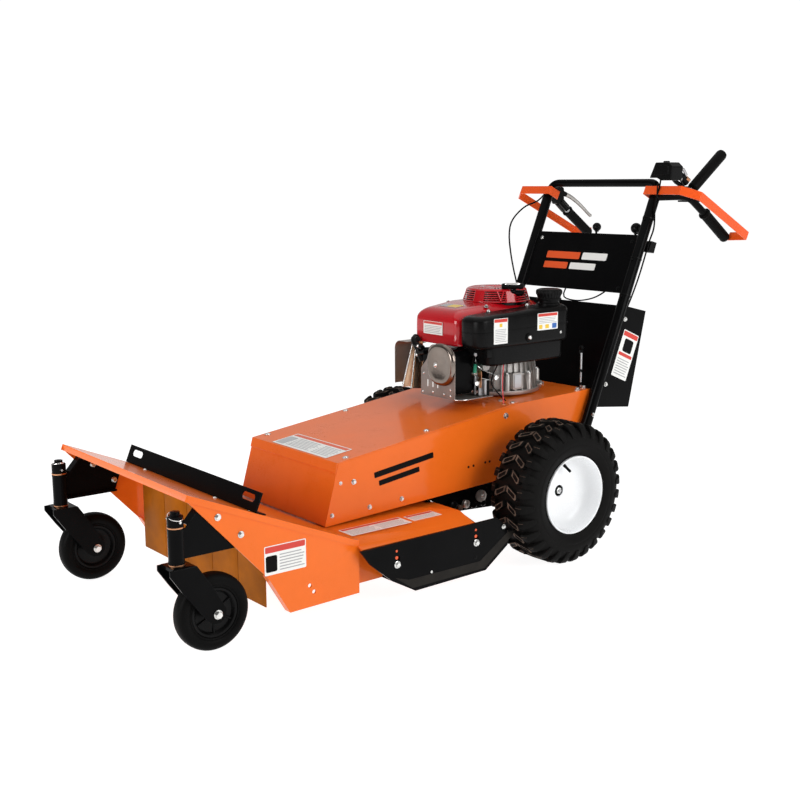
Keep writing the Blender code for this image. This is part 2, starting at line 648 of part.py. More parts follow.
def loop_outline(grow, steps=18):
    """Outline of a loop round both pulleys, moved out from their grooves."""
    big, small = SPINDLE_PULLEY_R + grow, ENGINE_PULLEY_R + grow
    tilt = math.asin((SPINDLE_PULLEY_R - ENGINE_PULLEY_R) / (ENGINE_Y - BLADE_Y))
    points = []
    for i in range(steps + 1):
        t = tilt + (math.pi - 2 * tilt) * i / steps
        points.append((small * math.cos(t), ENGINE_Y + small * math.sin(t)))
    for i in range(steps + 1):
        t = math.pi - tilt + (math.pi + 2 * tilt) * i / steps
        points.append((big * math.cos(t), BLADE_Y + big * math.sin(t)))
    return points


def idler_x():
    """Centre of the idler, which bears on the belt's back."""
    tilt = math.asin((SPINDLE_PULLEY_R - ENGINE_PULLEY_R) / (ENGINE_Y - BLADE_Y))
    back = (ENGINE_PULLEY_R + BELT_DEPTH) / math.cos(tilt) + (ENGINE_Y - IDLER_Y) * math.tan(tilt)
    reach = IDLER_R / math.cos(math.pi / IDLER_STEPS) + FIT
    return back + reach / math.cos(tilt)


def make_idler():
    """Idler pulley on a swinging arm under the lid."""
    centre = (idler_x(), IDLER_Y, 0)
    low, high = BELT_Z - 0.010, BELT_Z + 0.010
    pulley = [(0.0085, low), (IDLER_R, low), (IDLER_R, high), (0.0085, high)]
    node("idler_pulley", turned("z", centre, pulley, IDLER_STEPS), "black_plastic", centre)
    x, y = IDLER_PIVOT
    run = Vector((x - centre[0], y - centre[1]))
    wide = Vector((-run.y, run.x)).normalized() * 0.013
    start, end = Vector(centre[:2]) - run.normalized() * 0.012, Vector((x, y)) + run.normalized() * 0.012
    corners = [tuple(start - wide), tuple(end - wide), tuple(end + wide), tuple(start + wide)]
    plate = slab("z", corners, BELT_Z + 0.0105, BELT_Z + 0.0165)
    pin = rod((centre[0], IDLER_Y, low - 0.004), (centre[0], IDLER_Y, high + 0.002), 0.0080, 12)
    post = rod((x, y, 0.2065), (x, y, high + 0.002), 0.010, 12)
    node("idler_arm", join([plate, pin, post]), "zinc", (x, y, 0))


# ---------------------------------------------------------------- engine
def make_crankcase():
    """Cast crankcase with ribs, finned cylinder and mounting flange."""
    centre = (0, ENGINE_Y, 0)
    profile = [(0, ENGINE_Z), (0.135, ENGINE_Z), (0.135, ENGINE_Z + 0.012), (0.117, ENGINE_Z + 0.012),
               (0.106, 0.598), (0, 0.598)]
    case = turned("z", centre, profile, 32)
    ribs = []
    for i in range(12):
        turn = Matrix.Translation(Vector(centre)) @ Matrix.Rotation(math.pi * (i + 0.5) / 6, 4, "Z")
        rib = block((0.095, -0.003, ENGINE_Z + 0.011), (0.126, 0.003, 0.540))
        rib.data.transform(turn)
        ribs.append(rib)
    cylinder = block((-0.048, -0.098, 0.478), (0.048, 0.020, 0.590))
    fins = [block((-0.062, -0.094 + 0.012 * i, 0.468), (0.062, -0.089 + 0.012 * i, 0.597)) for i in range(4)]
    bore = rod((0, ENGINE_Y, 0.40), (0, ENGINE_Y, 0.510), AXLE_R + 0.0012, 24)
    node("engine_crankcase", join([case, cylinder] + ribs + fins, [bore]), "alloy")


def shroud_ring(z, inset):
    """Plan outline of the engine shroud at a height."""
    radius = 0.135 - inset
    front, x = SHROUD_FRONT + inset, SHROUD_X - inset
    corner = 0.020
    ring = []
    for sign, start in ((-1, math.pi), (1, 1.5 * math.pi)):
        for i in range(5):
            t = start + math.pi / 2 * i / 4
            ring.append((sign * (x - corner) + corner * math.cos(t), front + corner + corner * math.sin(t), z))
    near = [(x, ENGINE_Y - 0.02, z), (x, ENGINE_Y + 0.070 - inset, z)]
    rear = [(radius * math.cos(t), ENGINE_Y + radius * math.sin(t), z)
            for t in [math.pi * (0.32 + 0.68 * i / 9) for i in range(10)]]
    return ring + near + rear


def over_slope(top):
    """The space over the shroud's front, whose top falls forwards from a height."""
    fall = 0.10 * (SLOPE_FROM + 0.200)
    return slab("x", [(SLOPE_FROM, top), (-0.200, top - fall), (-0.200, 0.760), (SLOPE_FROM, 0.760)], -0.13, 0.13)


def make_shroud():
    """Red blower shroud over the cylinder and flywheel."""
    outer = [(0.602, 0), (0.672, 0), (0.692, 0.004), (0.704, 0.012), (0.7110, 0.024), (0.7145, 0.040)]
    inner = [(0.600, 0.003), (0.672, 0.003), (0.690, 0.007), (0.700, 0.015), (0.7080, 0.030)]
    shell = loft([shroud_ring(z, inset) for z, inset in outer])
    hollow = join([loft([shroud_ring(z, inset) for z, inset in inner])], [over_slope(SHROUD_TOP - 0.0065)])
    fan = turned("z", (0, ENGINE_Y, 0), [(0, 0.69), (0.086, 0.69), (0.086, 0.73), (0, 0.73)], 24)
    node("engine_shroud", join([shell], [over_slope(SHROUD_TOP), hollow, fan]), "red")


def make_recoil():
    """Recoil starter cover with its pull handle and the length of rope that it draws."""
    base = 0.7150
    profile = [(0, 0.756), (0.055, 0.756), (0.082, 0.7545), (0.0915, 0.7480), (0.101, base), (0.097, base),
               (0.088, 0.745), (0.079, 0.7505), (0, 0.752)]
    cover = turned("z", (0, ENGINE_Y, 0), profile, 28)
    boss = rod(ROPE_EYE - PULL * 0.012, ROPE_EYE + PULL * 0.001, 0.0105, 16)
    eye = rod(ROPE_EYE - PULL * 0.04, ROPE_EYE + PULL * 0.02, 0.0060, 12)
    node("recoil_cover", join([cover, boss], [eye]), "red")
    across = Vector((-PULL.y, PULL.x, 0)).normalized() * 0.031
    middle = ROPE_EYE + PULL * 0.012
    bar = rod(middle - across, middle + across, 0.0085, 12)
    rope = rod(middle, ROPE_EYE - PULL * (RECOIL_TRAVEL + 0.006), 0.0022, 8)
    node("recoil_handle", join([bar, rope]), "black_plastic", tuple(ROPE_EYE))


def make_tank():
    """Moulded fuel tank beside the shroud, with its filler cap."""
    low, high = (SHROUD_X + 0.001, -0.158), (0.198, 0.215)
    levels = [(0.600, 0.010), (0.610, 0.002), (0.690, 0.0), (0.704, 0.006), (0.7105, 0.016)]
    rings = []
    for z, inset in levels:
        outline = rounded((low[0] + inset, low[1] + inset), (high[0] - inset, high[1] - inset),
                          0.028 - inset * 0.5, 4)
        fall = 0.05 * max(0.0, z - 0.620) / 0.090
        rings.append([(x, y, z - fall * (high[1] - y)) for x, y in outline])
    neck = turned("z", (0.150, 0.165, 0), [(0, 0.700), (0.028, 0.700), (0.028, 0.7205), (0, 0.7205)], 24)
    belly = block((0.132, -0.105, 0.548), (0.186, 0.195, 0.606))
    node("fuel_tank", join([loft(rings), neck, belly]), "black_plastic")
    cap = [(0, 0.7209), (0.034, 0.7209), (0.036, 0.726), (0.036, 0.748), (0.032, 0.755), (0, 0.756)]
    node("fuel_cap", turned("z", (0.150, 0.165, 0), cap, 24), "black_plastic", (0.150, 0.165, 0))


def make_exhaust():
    """Muffler with its guard plate and tray, and the heat shield beside it."""
    body = block((-0.022, -0.1835, 0.462), (0.112, -0.105, 0.592))
    plate = block((-0.025, -0.1870, 0.452), (0.126, -0.1830, 0.604))
    tray = block((-0.025, -0.1850, 0.4505), (0.145, -0.055, 0.4540))
    dome = slab("y", rounded((0.010, 0.488), (0.128, 0.611), 0.052, 6), -0.1980, -0.1860)
    post = block((0.010, -0.110, 0.4535), (0.060, -0.105, 0.520))
    node("muffler", join([body, plate, tray, dome, post]), "chrome")
    cover = [(-0.170, 0.465), (-0.170, 0.572), (-0.160, 0.592), (-0.142, 0.5975), (-0.106, 0.5975)]
    sheet = slab("y", folded(cover, -0.003), -0.172, -0.080)
    wedge = [(-0.148, 0.456), (-0.045, 0.456), (-0.062, 0.470), (-0.112, 0.5965), (-0.124, 0.5965)]
    fold = slab("y", wedge, -0.165, -0.110)
    node("heat_shield", join([sheet, fold]), "bronze")


# ---------------------------------------------------------------- handles and controls
def make_handle_frame():
    """Two leaning uprights, the crossbar between their heads and the grip tubes."""
    pieces = []
    foot, head = 0.200, 1.048
    for side in SIDES.values():
        x = side * UPRIGHT_X
        pieces.append(rod((x, upright_y(foot), foot), (x, upright_y(head), head), UPRIGHT_R, 16))
        start = Vector((side * 0.236, upright_y(1.020), 1.020))
        tip = Vector((side * GRIP_END.x, GRIP_END.y, GRIP_END.z))
        begin = Vector((side * GRIP_START.x, GRIP_START.y, GRIP_START.z))
        run = bend([start, Vector((side * 0.290, 0.625, 1.0220)), begin, tip], 0.030, 3)
        pieces.append(pipe(run, GRIP_TUBE_R, 12))
    low = Vector((UPRIGHT_X - 0.001, upright_y(0.980), 0.980))
    top = Vector((UPRIGHT_X - 0.001, upright_y(CROSSBAR_Z), CROSSBAR_Z))
    route = [low, top, Vector((-top.x, top.y, top.z)), Vector((-low.x, low.y, low.z))]
    pieces.append(pipe(bend(route, 0.035, 4), CROSSBAR_R, 12))
    drive_lug = block((0.252, 0.648, 1.004), (0.258, 0.672, 1.052))
    drive_foot = block((0.252, 0.622, 1.004), (0.300, 0.672, 1.009))
    brake_lug = block((-0.2960, 0.636, 1.004), (-0.2896, 0.660, 1.044))
    node("handle_frame", join(pieces + [drive_lug, drive_foot, brake_lug]), "black_coat")


def make_grips():
    """Rubber grips over the ends of the grip tubes."""
    line = GRIP_END - GRIP_START
    length = line.length
    turn = line.normalized().to_track_quat("Z", "Y").to_matrix().to_4x4()
    for label, side in SIDES.items():
        bore, wall = GRIP_TUBE_R + FIT, GRIP_R
        profile = [(0, length + FIT), (bore, length + FIT), (bore, 0.002), (wall, 0.002),
                   (wall, length + 0.004), (0.012, length + 0.008), (0, length + 0.008)]
        grip = turned("z", (0, 0, 0), profile, 16)
        grip.data.transform(Matrix.Translation(GRIP_START) @ turn)
        node(f"hand_grip_{label}", mirrored(grip, side), "rubber")


def make_hand_guards():
    """Orange flat-bar hoops round each hand."""
    back = Vector((0, math.cos(GUARD_FALL), -math.sin(GUARD_FALL)))
    up = Vector((0, math.sin(GUARD_FALL), math.cos(GUARD_FALL)))
    origin = Vector((0, upright_y(1.040) - UPRIGHT_R - 0.006, 1.040))
    path = [(0.206, 0.042), (0.206, 0.0), (0.340, 0.0), (0.385, 0.040), (0.371, 0.325), (0.298, 0.334)]
    for label, side in SIDES.items():
        outline = folded(path, -0.004)
        rings = [[origin + Vector((x, 0, 0)) + back * run + up * lift for x, run in outline]
                 for lift in (-0.014, 0.014)]
        node(f"hand_guard_{label}", mirrored(loft(rings), side), "orange_guard")


def make_console():
    """Black panel between the uprights, with hooks for the two control levers."""
    low, high = 0.729, 0.905
    sheet = [(upright_y(low) - 0.0015, low), (upright_y(low) + 0.0015, low), (upright_y(high) + 0.0015, high),
             (upright_y(high) - 0.0015, high)]
    panel = slab("x", sheet, -0.211, 0.211)
    lugs = []
    for x, _ in CONTROL_LEVERS.values():
        y, z = LEVER_PIVOT
        lugs.append(block((x + 0.0075, upright_y(z + 0.012) - 0.001, z - 0.012),
                          (x + 0.0105, y + 0.012, z + 0.012)))
    node("console_panel", join([panel] + lugs), "black_coat")


def make_control_levers():
    """Two ball-topped levers behind the panel."""
    y, z = LEVER_PIVOT
    for name, (x, radius) in CONTROL_LEVERS.items():
        boss = rod((x - 0.005, y, z), (x + 0.0070, y, z), 0.010, 12)
        stick = rod((x, y, z), (x, BALL_AT[0], BALL_AT[1] - 0.006), 0.0035, 8)
        arc = [math.pi * i / 6 for i in range(7)]
        ball_line = [(radius * math.sin(t), -radius * math.cos(t)) for t in arc]
        ball = turned("z", (x, BALL_AT[0], BALL_AT[1]), ball_line, 12)
        node(name, join([boss, stick, ball]), "black_plastic", (x, y, z))


def make_drive_lever():
    """Fat-gripped lever on the left grip tube that drives and stops the wheels."""
    x, y, z = DRIVE_PIVOT
    boss = rod((0.2584, y, z), (0.2700, y, z), 0.013, 16)
    run = (DRIVE_TIP - DRIVE_PIVOT).normalized()
    neck = rod(DRIVE_PIVOT, DRIVE_PIVOT + run * 0.060, 0.007, 12)
    grip = rod(DRIVE_PIVOT + run * 0.040, DRIVE_TIP, 0.0160, 20)
    node("drive_lever", join([boss, neck, grip]), "rubber", tuple(DRIVE_PIVOT))


def make_brake_lever():
    """Hand lever over the right grip."""
    x, y, z = BRAKE_PIVOT
    boss = rod((x - 0.009, y, z), (x + 0.009, y, z), 0.010, 14)
    path = bend([(x, y, z), (x, 0.700, 1.0200), (x - 0.004, 0.812, 0.9460)], 0.030, 3)
    node("brake_lever", join([boss, pipe(path, 0.0055, 10)]), "alloy", tuple(BRAKE_PIVOT))


def make_control_pod():
    """Switch box over the left end of the crossbar."""
    outline = [(0.219, 1.0790), (0.233, 1.1245), (0.296, 1.1245), (0.308, 1.1100), (0.300, 1.0547),
               (0.250, 1.0547), (0.250, 1.0790)]
    node("control_pod", slab("y", outline, 0.5240, 0.5760), "black_plastic")


def make_rear_shield():
    """Black sheet box behind the engine, open below."""
    back = 0.0195
    front_low, front_top = (upright_y(0.390) + back, 0.390), (upright_y(0.691) + back, 0.691)
    rear_top, rear_low = (0.513, 0.669), (0.444, 0.373)
    wall = [front_low, rear_low, rear_top, front_top]
    sides = [mirrored(slab("x", wall, UPRIGHT_X - THIN, UPRIGHT_X), side) for side in SIDES.values()]
    skin = folded([front_low, front_top, rear_top, rear_low], -THIN)
    cover = slab("x", skin, -UPRIGHT_X + 0.001, UPRIGHT_X - 0.001)
    node("rear_shield", join([cover] + sides), "black_coat")


# ---------------------------------------------------------------- control cables
def smooth_route(points, spacing):
    """Even points on a smooth curve through a route's own points."""
    knots = [Vector(p) for p in points]
    padded = [knots[0] * 2 - knots[1]] + knots + [knots[-1] * 2 - knots[-2]]
    fine = []
    for p0, p1, p2, p3 in zip(padded, padded[1:], padded[2:], padded[3:]):
        for i in range(24):
            t = i / 24
            fine.append(0.5 * (2 * p1 + (p2 - p0) * t + (2 * p0 - 5 * p1 + 4 * p2 - p3) * t * t
                               + (3 * p1 - p0 - 3 * p2 + p3) * t ** 3))
    fine.append(knots[-1])
    total = sum((b - a).length for a, b in zip(fine, fine[1:]))
    count = min(round(total / spacing), 79)
    out, run, step = [fine[0]], 0.0, total / count
    for a, b in zip(fine, fine[1:]):
        reach = (b - a).length
        while run + reach >= step * len(out) - 1e-9 and len(out) < count:
            out.append(a.lerp(b, (step * len(out) - run) / reach))
        run += reach
    return out + [fine[-1]]


def cable(name, route, radius):
    """A control cable along its route."""
    curve = bpy.data.curves.new(name, "CURVE")
    curve.dimensions = "3D"
    curve.bevel_depth = radius
    curve.bevel_resolution = 2
    curve.use_fill_caps = True
    points = smooth_route(route, radius * 6)
    line = curve.splines.new("POLY")
    line.points.add(len(points) - 1)
    for target, point in zip(line.points, points):
        target.co = (*point, 1)
    obj = bpy.data.objects.new(name, curve)
    bpy.context.collection.objects.link(obj)
    obj.parent = MACHINE
    curve.materials.append(finish("rubber"))


BRAKE_CABLE = [(-0.284, 0.631, 1.050), (-0.295, 0.602, 1.037), (-0.305, 0.566, 1.004), (-0.316, 0.512, 0.983),
               (-0.322, 0.462, 0.940), (-0.322, 0.448, 0.893), (-0.318, 0.452, 0.830), (-0.308, 0.458, 0.770),
               (-0.290, 0.458, 0.715), (-0.266, 0.440, 0.655), (-0.257, 0.405, 0.600), (-0.254, 0.345, 0.520),
               (-0.251, 0.285, 0.465), (-0.241, 0.235, 0.430), (-0.230, 0.206, 0.412), (-0.2135, 0.195, 0.405)]
THROTTLE_CABLE = [(0.012, 0.500, 0.8385), (-0.018, 0.482, 0.800), (-0.046, 0.452, 0.740),
                  (-0.046, 0.432, 0.702), (0.000, 0.427, 0.692), (0.050, 0.427, 0.696),
                  (0.100, 0.431, 0.711), (0.140, 0.446, 0.742), (0.166, 0.474, 0.792), (0.176, 0.500, 0.8385)]


def make_cables():
    """Brake cable down the right side and the link cable below the panel."""
    cable("brake_cable", BRAKE_CABLE, 0.0028)
    cable("throttle_cable", THROTTLE_CABLE, 0.0024)


for leftover in list(bpy.data.objects):
    bpy.data.objects.remove(leftover)
MACHINE = bpy.data.objects.new("machine", None)
MACHINE.location = (0, AXLE_Y, 0)
bpy.context.collection.objects.link(MACHINE)

make_deck()
make_flaps()
make_front_bar()
make_skids()
make_casters()
make_rear_wheels()
make_transaxle()
make_frame()
make_belt_housing()
make_lid()
make_drive()
make_crankcase()
make_shroud()
make_recoil()
make_tank()
make_exhaust()
make_handle_frame()
make_grips()
make_hand_guards()
make_console()
make_control_levers()
make_drive_lever()
make_brake_lever()
make_control_pod()
make_rear_shield()
make_cables()
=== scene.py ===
"""Looks of a walk-behind brush mower: finishes, tyres, engine, fasteners, labels and studio.

Units are metres, +Z is up and the machine's front faces -Y.
Every y in a piece's own numbers is measured from the rear axle; finished pieces are moved by AXLE_Y.
"""
import math

import bmesh
import bpy
from mathutils import Matrix, Vector


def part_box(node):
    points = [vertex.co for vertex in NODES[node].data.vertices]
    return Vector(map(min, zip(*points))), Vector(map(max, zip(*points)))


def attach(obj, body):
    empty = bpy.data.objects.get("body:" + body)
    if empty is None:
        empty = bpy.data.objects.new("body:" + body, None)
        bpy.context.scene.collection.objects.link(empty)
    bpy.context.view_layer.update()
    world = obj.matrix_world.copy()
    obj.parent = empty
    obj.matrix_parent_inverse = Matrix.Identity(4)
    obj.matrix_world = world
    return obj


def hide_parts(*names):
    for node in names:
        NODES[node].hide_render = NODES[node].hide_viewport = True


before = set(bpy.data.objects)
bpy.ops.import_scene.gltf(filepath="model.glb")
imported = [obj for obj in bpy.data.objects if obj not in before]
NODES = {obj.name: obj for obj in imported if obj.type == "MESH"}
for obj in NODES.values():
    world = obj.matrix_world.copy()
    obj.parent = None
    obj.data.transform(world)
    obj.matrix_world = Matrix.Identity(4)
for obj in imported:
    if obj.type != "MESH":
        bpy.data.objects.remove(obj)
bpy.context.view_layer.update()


def middle(node):
    """Centre of a CAD node's box."""
    low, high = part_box(node)
    return (low + high) / 2


AXLE_Y = middle("rear_rim_left").y
HOME = Vector((0, AXLE_Y, 0))
SIDES = {"left": 1, "right": -1}


# ---------------------------------------------------------------- finishes
def add(tree, kind, inputs=(), **settings):
    """A shader node with its settings, and its inputs by name."""
    made = tree.nodes.new("ShaderNode" + kind)
    for key, value in settings.items():
        setattr(made, key, value)
    for key, value in dict(inputs).items():
        made.inputs[key].default_value = value
    return made


def tinted(colour, factor):
    """A colour made lighter or darker."""
    return (*[min(1.0, channel * factor) for channel in colour], 1)


DUST = (0.36, 0.3, 0.23, 1)


def coat(name, colour, rough, metal=0.0, gloss=0.0, spread=0.06, patch=8.0, grain=0.15, grain_scale=700.0,
         depth=0.0003, edge_wear_and_highlight=None, dust=0.0, shine=0.5):
    """A finish whose colour, roughness and surface vary over the piece, with edges paled partly by wear and
    partly by a painted highlight, and dust on top.
    """
    material = bpy.data.materials.new(name)
    material.use_nodes = True
    tree = material.node_tree
    link = tree.links.new
    shader = tree.nodes["Principled BSDF"]
    shader.inputs["Metallic"].default_value = metal
    shader.inputs["Coat Weight"].default_value = gloss
    shader.inputs["Coat Roughness"].default_value = 0.05
    shader.inputs["Specular IOR Level"].default_value = shine
    where = add(tree, "TexCoord")
    broad = add(tree, "TexNoise", {"Scale": patch, "Detail": 5.0, "Roughness": 0.6})
    fine = add(tree, "TexNoise", {"Scale": grain_scale, "Detail": 2.0})
    for noise in (broad, fine):
        link(where.outputs["Object"], noise.inputs["Vector"])
    ramp = add(tree, "ValToRGB")
    ramp.color_ramp.elements[0].position = 0.3
    ramp.color_ramp.elements[0].color = tinted(colour, 1 - spread)
    ramp.color_ramp.elements[1].position = 0.7
    ramp.color_ramp.elements[1].color = tinted(colour, 1 + spread)
    link(broad.outputs["Fac"], ramp.inputs["Fac"])
    shade = ramp.outputs["Color"]
    # Paler colour along sharp edges: partly wear, partly a painted edge highlight.
    if edge_wear_and_highlight:
        shade = mixed(tree, edge_wear_and_highlight_mask(tree, broad), shade, (*edge_wear_and_highlight, 1))
    if dust:
        shade = mixed(tree, dust_mask(tree, fine, dust), shade, DUST)
    link(shade, shader.inputs["Base Color"])
    blend = add(tree, "Math", operation="ADD")
    link(broad.outputs["Fac"], blend.inputs[0])
    link(fine.outputs["Fac"], blend.inputs[1])
    span = add(tree, "MapRange", {"From Min": 0.6, "From Max": 1.4, "To Min": max(0.03, rough * 0.8),
                                  "To Max": min(1.0, rough * 1.25)})
    link(blend.outputs[0], span.inputs["Value"])
    link(span.outputs["Result"], shader.inputs["Roughness"])
    bump = add(tree, "Bump", {"Strength": grain, "Distance": depth})
    link(fine.outputs["Fac"], bump.inputs["Height"])
    link(bump.outputs["Normal"], shader.inputs["Normal"])
    return material


def mixed(tree, mask, shade, other):
    """A colour that turns into another where the mask says."""
    mix = add(tree, "Mix", data_type="RGBA")
    tree.links.new(mask, mix.inputs["Factor"])
    tree.links.new(shade, mix.inputs[6])
    mix.inputs[7].default_value = other
    return mix.outputs[2]


def edge_wear_and_highlight_mask(tree, broad):
    """Where an edge is paled, partly rubbed and partly a painted highlight: near a sharp edge, in patches.
    """
    rounded = add(tree, "Bevel", {"Radius": 0.0016}, samples=3)
    surface = add(tree, "NewGeometry")
    turn = add(tree, "VectorMath", operation="DOT_PRODUCT")
    tree.links.new(rounded.outputs["Normal"], turn.inputs[0])
    tree.links.new(surface.outputs["Normal"], turn.inputs[1])
    near = add(tree, "MapRange", {"From Min": 0.97, "From Max": 0.8, "To Min": 0.0, "To Max": 0.5})
    tree.links.new(turn.outputs["Value"], near.inputs["Value"])
    patchy = add(tree, "MapRange", {"From Min": 0.42, "From Max": 0.62})
    tree.links.new(broad.outputs["Fac"], patchy.inputs["Value"])
    both = add(tree, "Math", operation="MULTIPLY")
    tree.links.new(near.outputs["Result"], both.inputs[0])
    tree.links.new(patchy.outputs["Result"], both.inputs[1])
    return both.outputs[0]


def dust_mask(tree, fine, amount):
    """Dust that lies on faces that look up, in fine speckles."""
    surface = add(tree, "NewGeometry")
    split = add(tree, "SeparateXYZ")
    tree.links.new(surface.outputs["Normal"], split.inputs["Vector"])
    up = add(tree, "MapRange", {"From Min": -0.2, "From Max": 1.0, "To Min": 0.2 * amount,
                                "To Max": amount})
    tree.links.new(split.outputs["Z"], up.inputs["Value"])
    speckle = add(tree, "Math", operation="MULTIPLY")
    tree.links.new(up.outputs["Result"], speckle.inputs[0])
    tree.links.new(fine.outputs["Fac"], speckle.inputs[1])
    return speckle.outputs[0]


# The edge colours given below are paler than each coat: partly wear, partly a painted edge highlight.
COATS = {
    "orange": coat("orange", (0.84, 0.15, 0.01), 0.3, gloss=0.28, spread=0.04, grain=0.08,
                   grain_scale=420, edge_wear_and_highlight=(0.6, 0.2, 0.06), shine=0.16),
    "orange_guard": coat("orange_guard", (0.78, 0.088, 0.01), 0.34, gloss=0.25, spread=0.04, grain=0.08,
                         grain_scale=420, edge_wear_and_highlight=(0.55, 0.22, 0.08), shine=0.18),
    "black_coat": coat("black_coat", (0.003, 0.003, 0.0032), 0.18, spread=0.25, grain=0.1, grain_scale=520,
                       edge_wear_and_highlight=(0.05, 0.05, 0.05), shine=0.045),
    "black_plastic": coat("black_plastic", (0.0034, 0.0034, 0.0036), 0.26, spread=0.2, grain=0.16,
                          grain_scale=900, shine=0.09, dust=0.006),
    "rubber": coat("rubber", (0.003, 0.0029, 0.0029), 0.5, spread=0.3, grain=0.45, grain_scale=600,
                   shine=0.05, dust=0.004),
    "rubber_edge": coat("rubber_edge", (0.095, 0.066, 0.05), 0.7, spread=0.6, patch=45, grain=0.5,
                        grain_scale=600, shine=0.1),
    "tread": coat("tread", (0.004, 0.0038, 0.0037), 0.55, spread=0.3, grain=0.5, grain_scale=480,
                  shine=0.06, dust=0.008),
    "white_rim": coat("white_rim", (0.88, 0.89, 0.9), 0.26, gloss=0.3, spread=0.015, grain=0.06,
                      grain_scale=300, shine=0.3),
    # Flaps: orange paint darkened to brown, which paints the shade they hang in.
    "flap_tan": coat("flap_tan", (0.3, 0.09, 0.005), 0.42, spread=0.22, patch=14, grain=0.2,
                     edge_wear_and_highlight=(0.3, 0.18, 0.09), shine=0.03),
    "red": coat("red", (0.48, 0.004, 0.01), 0.2, gloss=0.6, spread=0.08, grain=0.05, grain_scale=300,
                edge_wear_and_highlight=(0.6, 0.05, 0.05), shine=0.3),
    "alloy": coat("alloy", (0.44, 0.42, 0.4), 0.42, metal=0.85, spread=0.16, patch=30, grain=0.7,
                  grain_scale=380, depth=0.0006),
    # Muffler dome metal tinted dark brown: the reflection the dome shows is painted into its colour.
    "chrome": coat("chrome", (0.23, 0.19, 0.165), 0.2, metal=1.0, spread=0.22, patch=12, grain=0.12,
                   grain_scale=160, depth=0.0008),
    "guard_plate": coat("guard_plate", (0.26, 0.22, 0.2), 0.38, metal=0.9, spread=0.25, patch=18, grain=0.3,
                        grain_scale=260),
    "bright_metal": coat("bright_metal", (0.8, 0.78, 0.76), 0.16, metal=1.0, spread=0.1, patch=20,
                         grain=0.1),
    "bronze": coat("bronze", (0.62, 0.42, 0.28), 0.22, metal=1.0, spread=0.2, patch=14, grain=0.12,
                   grain_scale=90, depth=0.0006),
    "wear_strip": coat("wear_strip", (0.014, 0.012, 0.01), 0.45, spread=0.3, patch=30, grain=0.4,
                       shine=0.1),
    "grey_sheet": coat("grey_sheet", (0.4, 0.36, 0.33), 0.36, metal=0.8, spread=0.12, patch=16, grain=0.2),
    "steel": coat("steel", (0.5, 0.5, 0.51), 0.32, metal=1.0, spread=0.15, grain=0.2),
    "zinc": coat("zinc", (0.72, 0.72, 0.7), 0.26, metal=1.0, spread=0.15, patch=60, grain=0.25),
    "copper": coat("copper", (0.62, 0.3, 0.16), 0.3, metal=1.0, spread=0.2, patch=60, grain=0.2),
    "label": coat("label", (0.84, 0.84, 0.81), 0.3, spread=0.02, grain=0.04),
    "ink_red": coat("ink_red", (0.62, 0.035, 0.02), 0.3, spread=0.06, grain=0.05),
    "ink_yellow": coat("ink_yellow", (0.8, 0.52, 0.03), 0.3, spread=0.06, grain=0.05),
    "ink_blue": coat("ink_blue", (0.02, 0.12, 0.42), 0.3, spread=0.06, grain=0.05),
    "ink_grey": coat("ink_grey", (0.4, 0.4, 0.41), 0.4, spread=0.1, grain=0.05),
    "ink_black": coat("ink_black", (0.004, 0.004, 0.004), 0.35, spread=0.1, grain=0.05, shine=0.05),
    "ink_orange": coat("ink_orange", (0.75, 0.09, 0.015), 0.3, spread=0.06, grain=0.05),
    "ink_silver": coat("ink_silver", (0.45, 0.46, 0.47), 0.3, spread=0.06, grain=0.05),
    "green": coat("green", (0.03, 0.35, 0.2), 0.35, grain=0.1),
    "wire_red": coat("wire_red", (0.6, 0.015, 0.03), 0.35, grain=0.1),
}


# ---------------------------------------------------------------- shape helpers
ON_AXIS = 1e-6


def spot(axis, centre, a, b, place):
    """A point a and b off the x or z axis through centre, at a place along it."""
    x, y, z = centre
    return {"x": (x + place, y + a, z + b), "z": (x + a, y + b, z + place)}[axis]


def full_turn(steps):
    """Angles once round a circle."""
    return [2 * math.pi * i / steps for i in range(steps)]


def quarter(steps):
    """Angles from 0 to 90 degrees."""
    return [math.pi / 2 * i / steps for i in range(steps + 1)]


def both_sides(half):
    """A (radius, place) profile and its mirror image across the middle plane."""
    return half + [(radius, -place) for radius, place in reversed(half)]


def rounded(low, high, radius, steps=6):
    """A rectangle's outline with round corners."""
    corners = [(high[0] - radius, high[1] - radius, 0), (low[0] + radius, high[1] - radius, 1),
               (low[0] + radius, low[1] + radius, 2), (high[0] - radius, low[1] + radius, 3)]
    out = []
    for x, y, quarter in corners:
        for i in range(steps + 1):
            t = math.pi / 2 * (quarter + i / steps)
            out.append((x + radius * math.cos(t), y + radius * math.sin(t)))
    return out


def bend(path, radius, steps=8):
    """A path with each inner corner rounded."""
    points = [Vector(p) for p in path]
    out = [points[0]]
    for before, corner, after in zip(points, points[1:], points[2:]):
        start = corner + (before - corner).normalized() * radius
        end = corner + (after - corner).normalized() * radius
        for i in range(steps + 1):
            t = i / steps
            out.append(start.lerp(corner, t).lerp(corner.lerp(end, t), t))
    return out + [points[-1]]


def folded(path, thickness):
    """The closed outline of a sheet that follows a flat path, on its left side."""
    points = [Vector(p) for p in path]
    steps = [(b - a).normalized() for a, b in zip(points, points[1:])]
    far = []
    for i, point in enumerate(points):
        before, after = steps[max(i - 1, 0)], steps[min(i, len(steps) - 1)]
        left = (Vector((-before.y, before.x)) + Vector((-after.y, after.x))).normalized()
        far.append(point + left * thickness / left.dot(Vector((-before.y, before.x))))
    return [tuple(p) for p in points] + [tuple(p) for p in reversed(far)]


